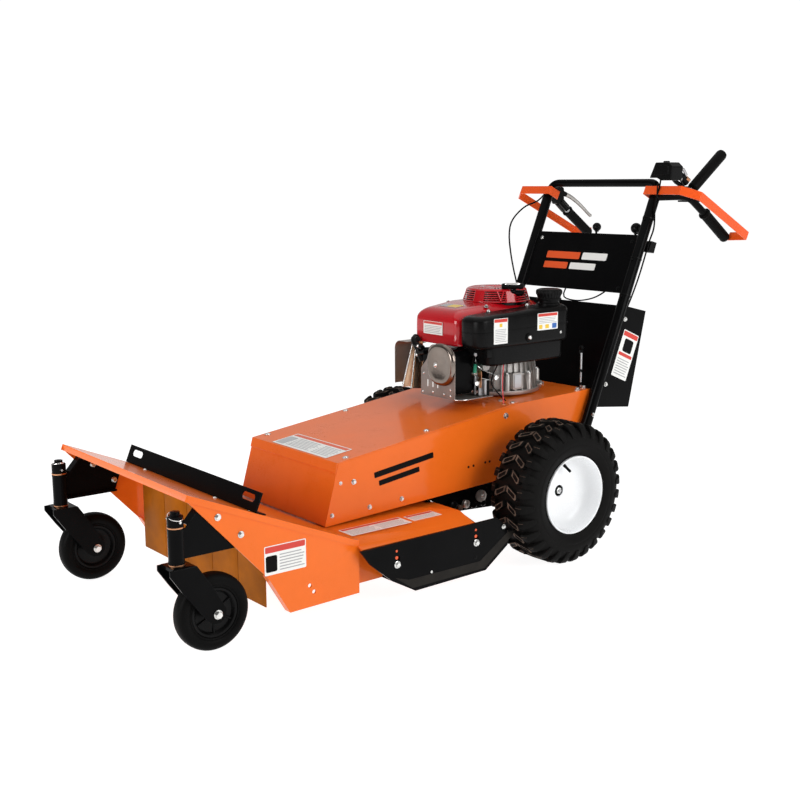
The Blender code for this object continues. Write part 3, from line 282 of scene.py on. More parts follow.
def smooth_route(points, per_leg=8):
    """Points on a smooth curve through a route's own points."""
    knots = [Vector(p) for p in points]
    ends = [knots[0] * 2 - knots[1]] + knots + [knots[-1] * 2 - knots[-2]]
    out = []
    for p0, p1, p2, p3 in zip(ends, ends[1:], ends[2:], ends[3:]):
        for i in range(per_leg):
            t = i / per_leg
            out.append(0.5 * (2 * p1 + (p2 - p0) * t + (2 * p0 - 5 * p1 + 4 * p2 - p3) * t * t
                              + (3 * p1 - p0 - 3 * p2 + p3) * t ** 3))
    return out + [knots[-1]]


class Shape:
    """A piece under construction: closed parts in one mesh, each with its finish."""

    def __init__(self, coat_name):
        self.bm = bmesh.new()
        self.coats = [coat_name]

    def paint(self, faces, coat_name):
        """Give new faces their finish."""
        if coat_name and coat_name not in self.coats:
            self.coats.append(coat_name)
        index = self.coats.index(coat_name) if coat_name else 0
        for face in faces:
            face.material_index = index
            face.smooth = True

    def loft(self, rings, coat_name=None, caps=True):
        """A skin through rings that have equally many points."""
        rows = [[self.bm.verts.new(point) for point in ring] for ring in rings]
        count = len(rows[0])
        faces = []
        for first, second in zip(rows, rows[1:]):
            for i in range(count):
                j = (i + 1) % count
                faces.append(self.bm.faces.new((first[i], first[j], second[j], second[i])))
        if caps:
            faces += [self.bm.faces.new(rows[0]), self.bm.faces.new(rows[-1])]
        self.paint(faces, coat_name)

    def slab(self, axis, outline, low, high, coat_name=None):
        """An outline extruded along an axis; x takes (y, z), y takes (x, z), z takes (x, y)."""
        turn = {"x": lambda a, b, c: (c, a, b), "y": lambda a, b, c: (a, c, b),
                "z": lambda a, b, c: (a, b, c)}
        self.loft([[turn[axis](a, b, place) for a, b in outline] for place in (low, high)], coat_name)

    def block(self, low, high, coat_name=None):
        """A box between two corners."""
        outline = [(low[0], low[1]), (high[0], low[1]), (high[0], high[1]), (low[0], high[1])]
        self.slab("z", outline, low[2], high[2], coat_name)

    def lathe(self, axis, centre, profile, coat_name=None, steps=48):
        """A (radius, place) profile turned about an axis."""
        rows = []
        for radius, place in profile:
            if radius < ON_AXIS:
                rows.append([self.bm.verts.new(spot(axis, centre, 0, 0, place))] * steps)
                continue
            angles = [2 * math.pi * (i + 0.5) / steps for i in range(steps)]
            rows.append([self.bm.verts.new(spot(axis, centre, radius * math.cos(t), radius * math.sin(t),
                                                place)) for t in angles])
        closed = profile[0][0] > ON_AXIS or profile[-1][0] > ON_AXIS
        faces = []
        for first, second in zip(rows, rows[1:] + (rows[:1] if closed else [])):
            for i in range(steps):
                j = (i + 1) % steps
                corners = list(dict.fromkeys((first[i], first[j], second[j], second[i])))
                if len(corners) > 2:
                    faces.append(self.bm.faces.new(corners))
        self.paint(faces, coat_name)

    def tube(self, path, radius, coat_name=None, sides=16):
        """A round bar through a list of points; radius may be a list, one for each point."""
        points = [Vector(p) for p in path]
        radii = radius if isinstance(radius, (list, tuple)) else [radius] * len(points)
        steps = [(b - a).normalized() for a, b in zip(points, points[1:])]
        normal = steps[0].orthogonal().normalized()
        rings = []
        for i, (point, size) in enumerate(zip(points, radii)):
            tangent = (steps[max(i - 1, 0)] + steps[min(i, len(steps) - 1)]).normalized()
            normal = (normal - tangent * normal.dot(tangent)).normalized()
            side = tangent.cross(normal)
            rings.append([point + size * (normal * math.cos(t) + side * math.sin(t))
                          for t in full_turn(sides)])
        self.loft(rings, coat_name)

    def turned_on(self, at, normal, profile, coat_name=None, steps=20):
        """A (radius, height) profile turned about a direction at a point."""
        at, normal = Vector(at), Vector(normal).normalized()
        side = normal.orthogonal().normalized()
        across = normal.cross(side)
        rings = []
        for radius, height in profile:
            radius = max(radius, 1e-5)
            rings.append([at + normal * height + radius * (side * math.cos(t) + across * math.sin(t))
                          for t in full_turn(steps)])
        self.loft(rings, coat_name)

    def hex_bolt(self, at, normal, across=0.013, coat_name="zinc"):
        """A washer and a hexagon head with a chamfered top."""
        radius = across / math.sqrt(3)
        self.turned_on(at, normal, [(across * 0.78, -0.001), (across * 0.78, 0.001),
                                    (across * 0.72, 0.0015)], coat_name, 24)
        height = across * 0.5
        self.turned_on(at, normal, [(radius, 0.0), (radius, height), (radius * 0.82, height + 0.001)],
                       coat_name, 6)

    def dome_bolt(self, at, normal, radius=0.0075, coat_name="zinc"):
        """A carriage bolt's domed head on a thin washer."""
        self.turned_on(at, normal, [(radius * 1.25, -0.001), (radius * 1.25, 0.0008)], coat_name, 24)
        self.turned_on(at, normal, [(radius * math.cos(t), 0.0008 + radius * 0.5 * math.sin(t))
                                    for t in quarter(5)], coat_name, 20)

    def done(self, name, body="chassis", replaces=(), bevel=0.0, sharp=34, side=1, weld=False):
        """Finish the piece: move it home, mirror it for its side, and hand it to its body."""
        if weld:
            bmesh.ops.remove_doubles(self.bm, verts=self.bm.verts, dist=1e-5)
        bmesh.ops.recalc_face_normals(self.bm, faces=self.bm.faces)
        mesh = bpy.data.meshes.new(name)
        self.bm.to_mesh(mesh)
        self.bm.free()
        if side < 0:
            mesh.transform(Matrix.Diagonal((-1, 1, 1, 1)))
            mesh.flip_normals()
        mesh.transform(Matrix.Translation(HOME))
        return finished(mesh, name, body, [COATS[c] for c in self.coats], replaces,
                        bevel, sharp)


def finished(mesh, name, body, materials, replaces, bevel, sharp):
    """A mesh as a shown piece, with broken edges where it asks for them.

    A piece called NODE_finish stands in for that CAD piece.
    """
    mesh.shade_smooth()
    mesh.set_sharp_from_angle(angle=math.radians(sharp))
    for material in materials:
        mesh.materials.append(material)
    obj = bpy.data.objects.new(name, mesh)
    bpy.context.scene.collection.objects.link(obj)
    if bevel:
        step = obj.modifiers.new("broken_edges", "BEVEL")
        step.width = bevel
        step.segments = 2
        step.limit_method = "ANGLE"
        step.angle_limit = math.radians(sharp)
        step.harden_normals = True
    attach(obj, body)
    if name.endswith("_finish"):
        replaces = [name.removesuffix("_finish")]
    if replaces:
        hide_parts(*replaces)
    return obj


def softened(node, slot, body="chassis", bevel=0.0008, sharp=36):
    """A CAD piece's own shape with its flat faces made whole and its edges broken."""
    bm = bmesh.new()
    bm.from_mesh(NODES[node].data)
    bmesh.ops.remove_doubles(bm, verts=bm.verts, dist=2e-5)
    bmesh.ops.dissolve_limit(bm, angle_limit=math.radians(0.5), verts=bm.verts, edges=bm.edges)
    mesh = bpy.data.meshes.new(node)
    bm.to_mesh(mesh)
    bm.free()
    finished(mesh, f"{node}_finish", body, [COATS[slot]], [node], bevel, sharp)


def cut(obj, tool_shape):
    """Take a closed shape out of a finished piece."""
    bmesh.ops.recalc_face_normals(tool_shape.bm, faces=tool_shape.bm.faces)
    mesh = bpy.data.meshes.new("cutter")
    tool_shape.bm.to_mesh(mesh)
    tool_shape.bm.free()
    mesh.transform(Matrix.Translation(HOME))
    tool = bpy.data.objects.new("cutter", mesh)
    bpy.context.scene.collection.objects.link(tool)
    step = obj.modifiers.new("cut", "BOOLEAN")
    step.operation = "DIFFERENCE"
    step.solver = "EXACT"
    step.object = tool
    kept = [m for m in obj.modifiers if m.name != "cut"]
    for modifier in kept:
        modifier.show_viewport = False
    graph = bpy.context.evaluated_depsgraph_get()
    result = bpy.data.meshes.new_from_object(obj.evaluated_get(graph))
    obj.modifiers.remove(step)
    for modifier in kept:
        modifier.show_viewport = True
    obj.data = result
    bpy.data.objects.remove(tool)


# ---------------------------------------------------------------- stickers
BAR_LOW, BAR_TOP = 0.25, 0.62          # where a printed bar starts and ends, as shares of the rows' pitch


def sticker(name, centre, right, up, size, marks, base="label"):
    """A thin sheet on a face: right and up span it, marks are (left, low, right, top, ink) shares of it."""
    centre, right, up = Vector(centre), Vector(right).normalized(), Vector(up).normalized()
    out = right.cross(up).normalized()
    corner = centre - right * size[0] / 2 - up * size[1] / 2

    def sheet_at(box, low, high, radius):
        start, end = (box[0] * size[0], box[1] * size[1]), (box[2] * size[0], box[3] * size[1])
        outline = rounded(start, end, radius, 3)
        return [[corner + right * a + up * b + out * lift for a, b in outline] for lift in (low, high)]

    shape = Shape(base)
    if base in ("label", "ink_silver"):
        shape.loft(sheet_at((0, 0, 1, 1), 0.00015, 0.00045, min(size) * 0.04))
    for left, low, far, top, ink in marks:
        thin = min((far - left) * size[0], (top - low) * size[1])
        shape.loft(sheet_at((left, low, far, top), 0.0003, 0.00062, thin * 0.15), ink)
    shape.done(name)


def lines(left, low, right, top, count, ink="ink_grey"):
    """Even thin bars of uneven length, which stand for printed rows."""
    pitch = (top - low) / count
    return [(left, low + pitch * i + pitch * BAR_LOW, right - (right - left) * 0.12 * ((i * 7) % 4) / 3,
             low + pitch * i + pitch * BAR_TOP, ink) for i in range(count)]


# ---------------------------------------------------------------- deck
PANEL_FACE, SKID_FACE = 0.3434, 0.369
ARM_BOLTS = ((-1.091, 0.318), (-1.0315, 0.266))
LIP = (-1.168, 0.3835)
CREASE = (-0.7, 0.188)
SLOPE = (LIP[1] - CREASE[1]) / (CREASE[0] - LIP[0])
SLOPE_RUN = Vector((0, 1, -SLOPE)).normalized()
SLOPE_UP = Vector((0, SLOPE, 1)).normalized()


def on_slope(x, y, lift=0.0, run=0.0):
    """A point over the sloping front plate."""
    return Vector((x, y, LIP[1] - SLOPE * (y - LIP[0]))) + SLOPE_UP * lift + SLOPE_RUN * run


def dress_deck():
    """Deck, flaps, guard bar and skids, with their bolts."""
    softened("deck_shell", "orange", bevel=0.001)
    for i in range(5):
        softened(f"front_flap_{i + 1}", "flap_tan", f"flap_{i + 1}", bevel=0.0005)
    guard_bar()
    for side in SIDES:
        softened(f"skid_shoe_{side}", "black_coat", bevel=0.0012)
    bolts = Shape("zinc")
    for side in SIDES.values():
        for y, z in ARM_BOLTS:
            bolts.hex_bolt((side * PANEL_FACE, y, z), (side, 0, 0), 0.011)
            bolts.turned_on((side * (PANEL_FACE - 0.0105), y, z), (-side, 0, 0),
                            [(0.0075, 0), (0.0075, 0.006), (0.006, 0.007)], None, 6)
        for y, z in ((-0.59, 0.1075), (-0.319, 0.1125)):
            bolts.hex_bolt((side * SKID_FACE, y, z), (side, 0, 0), 0.0125)
            for lift, radius in ((0.0185, 0.0046), (0.036, 0.0034)):
                bolts.turned_on((side * SKID_FACE, y - 0.002, z + lift), (side, 0, 0),
                                [(radius, -0.0005), (radius, 0.0003)], "ink_orange", 16)
        bolts.dome_bolt((side * SKID_FACE, -0.322, 0.072), (side, 0, 0), 0.004, "black_coat")
        bolts.dome_bolt((side * SKID_FACE, -0.476, 0.064), (side, 0, 0), 0.003)
        low, high = sorted((side * (SKID_FACE - 0.0004), side * (SKID_FACE + 0.0006)))
        bolts.slab("x", [(-0.598, 0.0735), (-0.54, 0.0338), (-0.2885, 0.0353), (-0.168, 0.1205),
                         (-0.204, 0.1205), (-0.306, 0.058), (-0.552, 0.059)], low, high, "wear_strip")
        bolts.hex_bolt((side * SKID_FACE, -0.219, 0.139), (side, 0, 0), 0.009)
        for x in (0.186, 0.3):
            bolts.dome_bolt(on_slope(side * x, -1.008 + 0.03 * (x > 0.2), 0.0002), SLOPE_UP, 0.0055)
    bolts.done("deck_bolts")


def guard_bar():
    """Angle bar across the front plate with a round-ended slot at each side."""
    y, slot_in, slot_out = -0.99, 0.262, 0.32
    leg = [on_slope(0, y, lift, run) for lift, run in
           ((0.0005, 0), (0.05, 0), (0.05, 0.004), (0.0045, 0.004), (0.0045, 0.03), (0.0005, 0.03))]
    bar = Shape("black_coat")
    bar.slab("x", [(p.y, p.z) for p in leg], -0.342, 0.342)
    piece = bar.done("front_guard_bar_finish", bevel=0.001)
    for side in SIDES.values():
        slot = Shape("black_coat")
        low, high = sorted((side * slot_in, side * slot_out))
        outline = rounded((low, 0.022), (high, 0.04), 0.0089, 8)
        slot.loft([[on_slope(x, y, lift, run) for x, lift in outline] for run in (-0.01, 0.02)])
        cut(piece, slot)


# ---------------------------------------------------------------- front casters
CASTER_X, STEM_Y = 0.326, -1.19
CASTER_Y, CASTER_R = -1.107, 0.093
ARM_LOW, ARM_TOP = 0.2245, 0.3075


def dress_casters():
    """Both casters: arm, bushes, fork, wheel and pins."""
    for label, side in SIDES.items():
        softened(f"caster_arm_{label}", "black_coat", bevel=0.001)
        softened(f"caster_fork_{label}", "black_coat", f"caster_{label}", bevel=0.0012)
        stem = (CASTER_X, STEM_Y, 0)
        bush = Shape("copper")
        for low, high in ((ARM_LOW - 0.004, ARM_LOW - 0.0004), (ARM_TOP + 0.0004, ARM_TOP + 0.004)):
            bush.lathe("z", stem, [(0.0104, low), (0.019, low), (0.0195, low + 0.0006),
                                   (0.0195, high - 0.0006), (0.019, high), (0.0104, high)], None, 40)
        bush.done(f"caster_bush_{label}_finish", side=side)
        tube = Shape("black_coat")
        for z in (ARM_LOW + 0.0035, ARM_TOP - 0.0035):
            tube.lathe("z", stem, [(0.018, z - 0.003), (0.0192, z - 0.0022), (0.0192, z + 0.0022),
                                   (0.018, z + 0.003)], None, 40)
        tube.done(f"caster_tube_rings_{label}", side=side)
        pin = Shape("zinc")
        head = ARM_TOP + 0.0044 + 0.012
        pin.tube([(CASTER_X - 0.031, STEM_Y - 0.004, head), (CASTER_X + 0.022, STEM_Y + 0.002, head)],
                 0.003, None, 12)
        ring = [Vector((CASTER_X + 0.002 + 0.019 * math.cos(t), STEM_Y + 0.017 * math.sin(t),
                        head + 0.0105 - 0.006 * math.cos(t))) for t in full_turn(28) + [2 * math.pi]]
        pin.tube(ring, 0.0014, "bright_metal", 8)
        pin.done(f"lynch_pin_{label}", body=f"caster_{label}", side=side)
        caster_wheel(label, side)
        arm = Shape("zinc")
        for y, z in ARM_BOLTS:
            arm.dome_bolt((0.333, y, z), (-1, 0, 0), 0.0062)
        arm.done(f"caster_arm_bolts_{label}", side=side)


def caster_wheel(label, side):
    """Rubber tyre, dished centre and its bolt."""
    centre = (CASTER_X, CASTER_Y, CASTER_R)
    body = f"caster_wheel_{label}"
    tyre = Shape("rubber")
    half = [(0.06, 0.0165), (0.061, 0.0185), (0.064, 0.0196), (0.0655, 0.019), (0.067, 0.0205),
            (0.074, 0.0228), (0.08, 0.0224), (0.0855, 0.0206), (0.0893, 0.0172), (0.0915, 0.0128),
            (0.0926, 0.008), (0.093, 0.003)]
    tyre.lathe("x", centre, both_sides(half), None, 80)
    tyre.done(f"caster_tyre_{label}_finish", body=body, side=side, sharp=40)
    hub = Shape("black_plastic")
    half = [(0.0067, 0.0268), (0.0145, 0.0268), (0.0158, 0.0258), (0.0165, 0.0225), (0.0185, 0.013),
            (0.022, 0.0112), (0.044, 0.0092), (0.048, 0.0102), (0.051, 0.015), (0.0535, 0.0178),
            (0.0585, 0.0186), (0.0597, 0.0176)]
    hub.lathe("x", centre, both_sides(half), None, 64)
    for i in range(6):
        t = math.pi * (i + 0.5) / 3
        rib = [Vector((CASTER_X + 0.0105, CASTER_Y + r * math.cos(t), CASTER_R + r * math.sin(t)))
               for r in (0.018, 0.034, 0.05)]
        hub.tube(rib, [0.0034, 0.0028, 0.0034], None, 10)
    hub.done(f"caster_hub_{label}_finish", body=body, side=side)
    bolt = Shape("zinc")
    for sign in (1, -1):
        at = (CASTER_X + sign * 0.033, CASTER_Y, CASTER_R)
        bolt.turned_on(at, (sign, 0, 0), [(0.0112, -0.0002), (0.0112, 0.0014), (0.0104, 0.002)], None, 28)
        bolt.turned_on(at, (sign, 0, 0), [(0.0092, 0.0018), (0.0092, 0.0072), (0.0076, 0.0086)], None, 6)
    bolt.tube([(CASTER_X + reach, CASTER_Y, CASTER_R) for reach in (-0.041, 0.033)], 0.0055, None, 20)
    bolt.done(f"caster_axle_bolt_{label}_finish", body=f"caster_{label}", side=side)


# ---------------------------------------------------------------- rear wheels
WHEEL = Vector((0.355, 0, 0.203))
CROWN_R = 0.202
LUG_FLOOR = 0.1885
LUGS = 28


def crown(x):
    """Radius of the lug tops at a distance from the tyre's middle."""
    x = abs(x)
    return CROWN_R - 2.2 * max(0.0, x - 0.03) ** 2 - 30.0 * max(0.0, x - 0.062) ** 2


def around(angle, arc, x, radius):
    """A point on the tyre at an angle, an arc length on from it, and a place across the tread."""
    t = angle + arc / CROWN_R
    return WHEEL + Vector((x, radius * math.cos(t), radius * math.sin(t)))


def lug(shape, angle, outline):
    """A tread block from its (arc, across) outline, with a rubbed paler band round its hollowed top."""
    middle_arc = sum(a for a, _ in outline) / len(outline)
    middle_x = sum(x for _, x in outline) / len(outline)

    def ring(shrink, radius):
        return [around(angle, middle_arc + (a - middle_arc) * shrink, middle_x + (x - middle_x) * shrink,
                       radius(middle_x + (x - middle_x) * shrink)) for a, x in outline]

    foot, chamfer = ring(1.1, lambda x: LUG_FLOOR), ring(1.0, lambda x: crown(x) - 0.001)
    rim, inner = ring(0.96, crown), ring(0.66, crown)
    hollow = ring(0.6, lambda x: crown(x) - 0.0016)
    shape.loft([foot, chamfer], caps=False)
    shape.loft([chamfer, rim], caps=False)
    shape.loft([rim, inner], "rubber_edge", caps=False)
    shape.loft([inner, hollow], caps=False)
    shape.paint([shape.bm.faces.new([shape.bm.verts.new(p) for p in hollow])], "tread")


def rear_tyre(label, side):
    """Lugged tyre: round carcass, chevron blocks along the middle and square shoulder blocks."""
    shape = Shape("tread")
    half = [(0.1119, 0.056), (0.1119, 0.069), (0.115, 0.0722), (0.1195, 0.0716), (0.122, 0.0736),
            (0.137, 0.0776), (0.142, 0.078), (0.144, 0.0774), (0.146, 0.078), (0.16, 0.0768),
            (0.172, 0.0725), (0.18, 0.0665), (0.1855, 0.0585), (0.1885, 0.05), (0.19, 0.038),
            (0.1905, 0.02)]
    inner = [(0.186, 0.04), (0.17, 0.064), (0.13, 0.068)]
    inside = [(r, -h) for r, h in reversed(inner)] + inner
    shape.lathe("x", WHEEL, both_sides(half) + inside, None, LUGS * 5)
    pitch = 2 * math.pi / LUGS
    for i in range(LUGS):
        angle = i * pitch
        start = 0.0008 if i % 2 else 0.0085
        for sign in (1, -1):
            wing = [(-0.002, sign * start), (0.015, sign * (start + 0.0005)), (0.035, sign * 0.037),
                    (0.031, sign * 0.043), (0.019, sign * 0.0415)]
            lug(shape, angle, wing)
            shoulder_block(shape, angle + pitch * 0.3, sign, 0.0 if i % 2 else 0.004)
    shape.done(f"rear_tyre_{label}_finish", f"rear_wheel_{label}", side=side, sharp=28, weld=True)


def shoulder_block(shape, angle, sign, reach):
    """A block over the tyre's shoulder, from (across, radius, half width) rows down the sidewall."""
    rows = [(0.044 - reach, 0.2012, 0.0105), (0.053, 0.2002, 0.0122), (0.06, 0.1975, 0.0125),
            (0.0665, 0.1915, 0.0122), (0.0725, 0.182, 0.0112), (0.0755, 0.173, 0.0095),
            (0.0772, 0.165, 0.007)]
    roots = [(x - 0.01 if i > 2 else x, 0.188 if i <= 2 else r - 0.012) for i, (x, r, _) in enumerate(rows)]
    rings = []
    for (x, radius, wide), (root_x, root_r) in zip(rows, roots):
        section = [(wide + 0.0012, root_x, root_r), (wide, x, radius),
                   (wide * 0.8, x + 0.0004, radius + 0.0005)]
        rings.append([around(angle, -arc, sign * across, r) for arc, across, r in section]
                     + [around(angle, arc, sign * across, r) for arc, across, r in reversed(section)])
    shape.loft(rings)
    notch = [around(angle, arc, sign * x, radius + 0.0007) for arc, (x, radius, _) in
             ((-0.004, rows[0]), (-0.004, rows[1]), (-0.0046, rows[2]))]
    shape.tube(notch, 0.0006, "rubber_edge", 6)


def rear_wheels():
    """Tyres, deep white wheels, hubs and valves."""
    for label, side in SIDES.items():
        rear_tyre(label, side)
        body = f"rear_wheel_{label}"
        rim = Shape("white_rim")
        bowl = [(0.1115, 0.056), (0.1115, 0.0728), (0.1106, 0.0742), (0.109, 0.0746), (0.1074, 0.0736),
                (0.1066, 0.07), (0.1058, 0.06), (0.105, 0.048), (0.1038, 0.039), (0.1006, 0.03),
                (0.095, 0.0228), (0.087, 0.0182), (0.074, 0.015), (0.056, 0.0128), (0.036, 0.0114),
                (0.02, 0.0106), (0.0168, 0.01), (0.0162, 0.008)]
        back = [(0.0162, 0.0065), (0.087, 0.0125), (0.101, 0.025), (0.1072, 0.033), (0.1072, -0.0725),
                (0.1115, -0.0736), (0.1115, -0.056), (0.1085, -0.04), (0.1085, 0.04)]
        rim.lathe("x", WHEEL, bowl + back, None, 128)
        rim.done(f"rear_rim_{label}_finish", body=body, side=side, sharp=30)
        hub = Shape("black_coat")
        hub.lathe("x", WHEEL, [(0, -0.245), (0.0125, -0.245), (0.0125, -0.03), (0.028, -0.028),
                               (0.028, -0.006), (0.052, -0.004), (0.052, 0.0045), (0.0158, 0.005),
                               (0.0156, 0.0085), (0.014, 0.0092), (0.0128, 0.008), (0, 0.0078)], None, 48)
        nose = tuple(WHEEL + Vector((0.0078, 0, 0)))
        hub.turned_on(nose, (1, 0, 0), [(0.0098, 0.0), (0.0098, 0.0034), (0.0082, 0.0044)], "zinc", 6)
        hub.turned_on(nose, (1, 0, 0), [(0.005, 0.004), (0.005, 0.0072), (0.004, 0.008)], "steel", 16)
        hub.done(f"wheel_hub_{label}_finish", body, side=side)
        valve = Shape("rubber")
        foot, tip = Vector((0.3785, -0.006, 0.2885)), Vector((0.396, 0.0125, 0.262))
        stem = [foot.lerp(tip, t) for t in (0, 0.12, 0.13, 0.45, 0.5, 0.86, 1.0)]
        valve.tube(stem, [0.0075, 0.0068, 0.0052, 0.0046, 0.004, 0.004, 0.0036], None, 16)
        valve.done(f"tyre_valve_{label}", body=body, side=side)


# ---------------------------------------------------------------- belt housing
BOX_X = 0.21
LID_FRONT, LID_BACK, PLATE_BACK = (-0.657, 0.352), (-0.008, 0.435), (0.29, 0.4445)


def box_top(y):
    """Height of the belt housing's top edge."""
    (y0, z0), (y1, z1) = (LID_FRONT, LID_BACK) if y < LID_BACK[0] else (LID_BACK, PLATE_BACK)
    return z0 + (z1 - z0) * (y - y0) / (y1 - y0)


def above(front, back):
    """The direction square to a line of the housing's top, seen from the side."""
    return Vector((0, front[1] - back[1], back[0] - front[0])).normalized()


def dress_housing():
    """Housing, lid, chassis and transaxle, with their bolts, holes and linkage."""
    softened("belt_housing", "orange", bevel=0.0012)
    softened("belt_cover_lid", "orange", bevel=0.0012)
    softened("chassis_frame", "black_coat")
    softened("transaxle", "alloy")
    bolts = Shape("zinc")
    lid_up, plate_up = above(LID_FRONT, LID_BACK), above(LID_BACK, PLATE_BACK)
    for side in SIDES.values():
        for y in (-0.62, -0.345):
            bolts.dome_bolt((side * 0.19, y, box_top(y) + 0.0038), lid_up, 0.0068)
        for y, z, across in ((-0.609, 0.297, 0.01), (-0.68, 0.218, 0.008), (-0.558, 0.22, 0.009),
                             (-0.449, 0.224, 0.009), (-0.064, 0.405, 0.011)):
            bolts.hex_bolt((side * BOX_X, y, z), (side, 0, 0), across)
        bolts.dome_bolt((side * BOX_X, -0.651, 0.3), (side, 0, 0), 0.004)
        for x, y in ((0.198, -0.026), (0.151, -0.03), (0.195, 0.25)):
            bolts.hex_bolt((side * x, y, box_top(y) + 0.0002), plate_up, 0.013)
        # Black discs stand for holes: the shade inside them painted flat on the housing side.
        for y, z in ((-0.207, 0.275), (-0.188, 0.276), (-0.143, 0.279), (-0.126, 0.279)):
            bolts.turned_on((side * (BOX_X + 0.0001), y, z), (side, 0, 0),
                            [(0.0036, -0.0005), (0.0036, 0.0003)], "ink_black", 20)
    bolts.done("housing_bolts")
    gear = Shape("black_coat")
    for side in SIDES.values():
        for y, z, radius, ink in ((-0.262, 0.172, 0.013, None), (-0.238, 0.161, 0.009, "rubber_edge"),
                                  (-0.214, 0.168, 0.012, "grey_sheet"), (-0.185, 0.16, 0.01, None),
                                  (-0.156, 0.182, 0.017, "grey_sheet"), (-0.15, 0.16, 0.009, None)):
            gear.turned_on((side * 0.2, y, z), (side, 0, 0), [
                (radius * 0.8, 0), (radius, 0.003), (radius, 0.012), (radius * 0.6, 0.015)], ink, 18)
        gear.hex_bolt((side * 0.215, -0.157, 0.184), (side, 0, 0), 0.008)
    gear.done("drive_linkage")


def inner_drive():
    """Pieces under the covers keep their own shape and get a finish whose colour and roughness vary."""
    for node, body, slot in (("engine_pulley", "engine_shaft", "steel"),
                             ("blade_spindle", "blade_rotor", "steel"),
                             ("spindle_housing", "chassis", "alloy"),
                             ("cutter_blade", "blade_rotor", "steel"),
                             ("idler_arm", "idler_arm", "zinc"),
                             ("idler_pulley", "idler_wheel", "black_plastic"),
                             ("drive_belt", "chassis", "rubber")):
        softened(node, slot, body, bevel=0.0006)


# ---------------------------------------------------------------- engine
ENGINE_Y, PLATE_Z = 0.09, 0.442
SHROUD_X, SHROUD_FRONT = 0.1, -0.154
SLOPE_FROM = -0.015        # the crease ahead of the starter cover
UPRIGHT_BELOW, TOP_RISE, TOP_FALL = 0.64, 0.075, 0.1


def shroud_ring(z, inset):
    """Plan outline of the engine shroud at a height."""
    radius, corner = 0.135 - inset, 0.02
    front, x = SHROUD_FRONT + inset, SHROUD_X - inset
    ring = []
    for sign, start in ((-1, math.pi), (1, 1.5 * math.pi)):
        for i in range(9):
            t = start + math.pi / 2 * i / 8
            ring.append((sign * (x - corner) + corner * math.cos(t),
                         front + corner + corner * math.sin(t), z))
    near = [(x, ENGINE_Y - 0.02, z), (x, ENGINE_Y + 0.07 - inset, z)]
    rear = [(radius * math.cos(t), ENGINE_Y + radius * math.sin(t), z)
            for t in [math.pi * (0.32 + 0.68 * i / 28) for i in range(29)]]
    return ring + near + rear


def slope_front(bm):
    """Let the shroud's top fall towards the front, from a crease ahead of the starter cover."""
    bmesh.ops.bisect_plane(bm, geom=bm.verts[:] + bm.edges[:] + bm.faces[:], plane_co=(0, SLOPE_FROM, 0),
                           plane_no=(0, 1, 0))
    for vert in bm.verts:
        share = max(0.0, vert.co.z - UPRIGHT_BELOW) / TOP_RISE
        vert.co.z -= TOP_FALL * share * max(0.0, SLOPE_FROM - vert.co.y)


def engine():
    """Crankcase, shroud, starter, tank, exhaust and carburettor."""
    crankcase()
    shroud = Shape("red")
    levels = [(0.6005, 0.0035), (0.602, 0.0), (0.607, -0.0005), (0.609, 0.0012), (0.64, 0.0008),
              (0.672, 0.0012)]
    levels += [(0.676 + 0.0385 * math.sin(t), 0.0015 + 0.0385 * (1 - math.cos(t))) for t in quarter(9)]
    shroud.loft([shroud_ring(z, inset) for z, inset in levels])
    slope_front(shroud.bm)
    shroud.done("engine_shroud_finish", sharp=50)
    trim = Shape("zinc")
    for at, out in (((0.086, -0.03, 0.708), (0.3, -0.1, 1)), ((-0.086, -0.03, 0.708), (-0.3, -0.1, 1)),
                    ((-0.135, 0.09, 0.625), (-1, 0, 0)), ((0, 0.225, 0.625), (0, 1, 0))):
        trim.hex_bolt(at, out, 0.009)
    trim.done("shroud_screws")
    starter()
    tank()
    exhaust()
    carburettor()


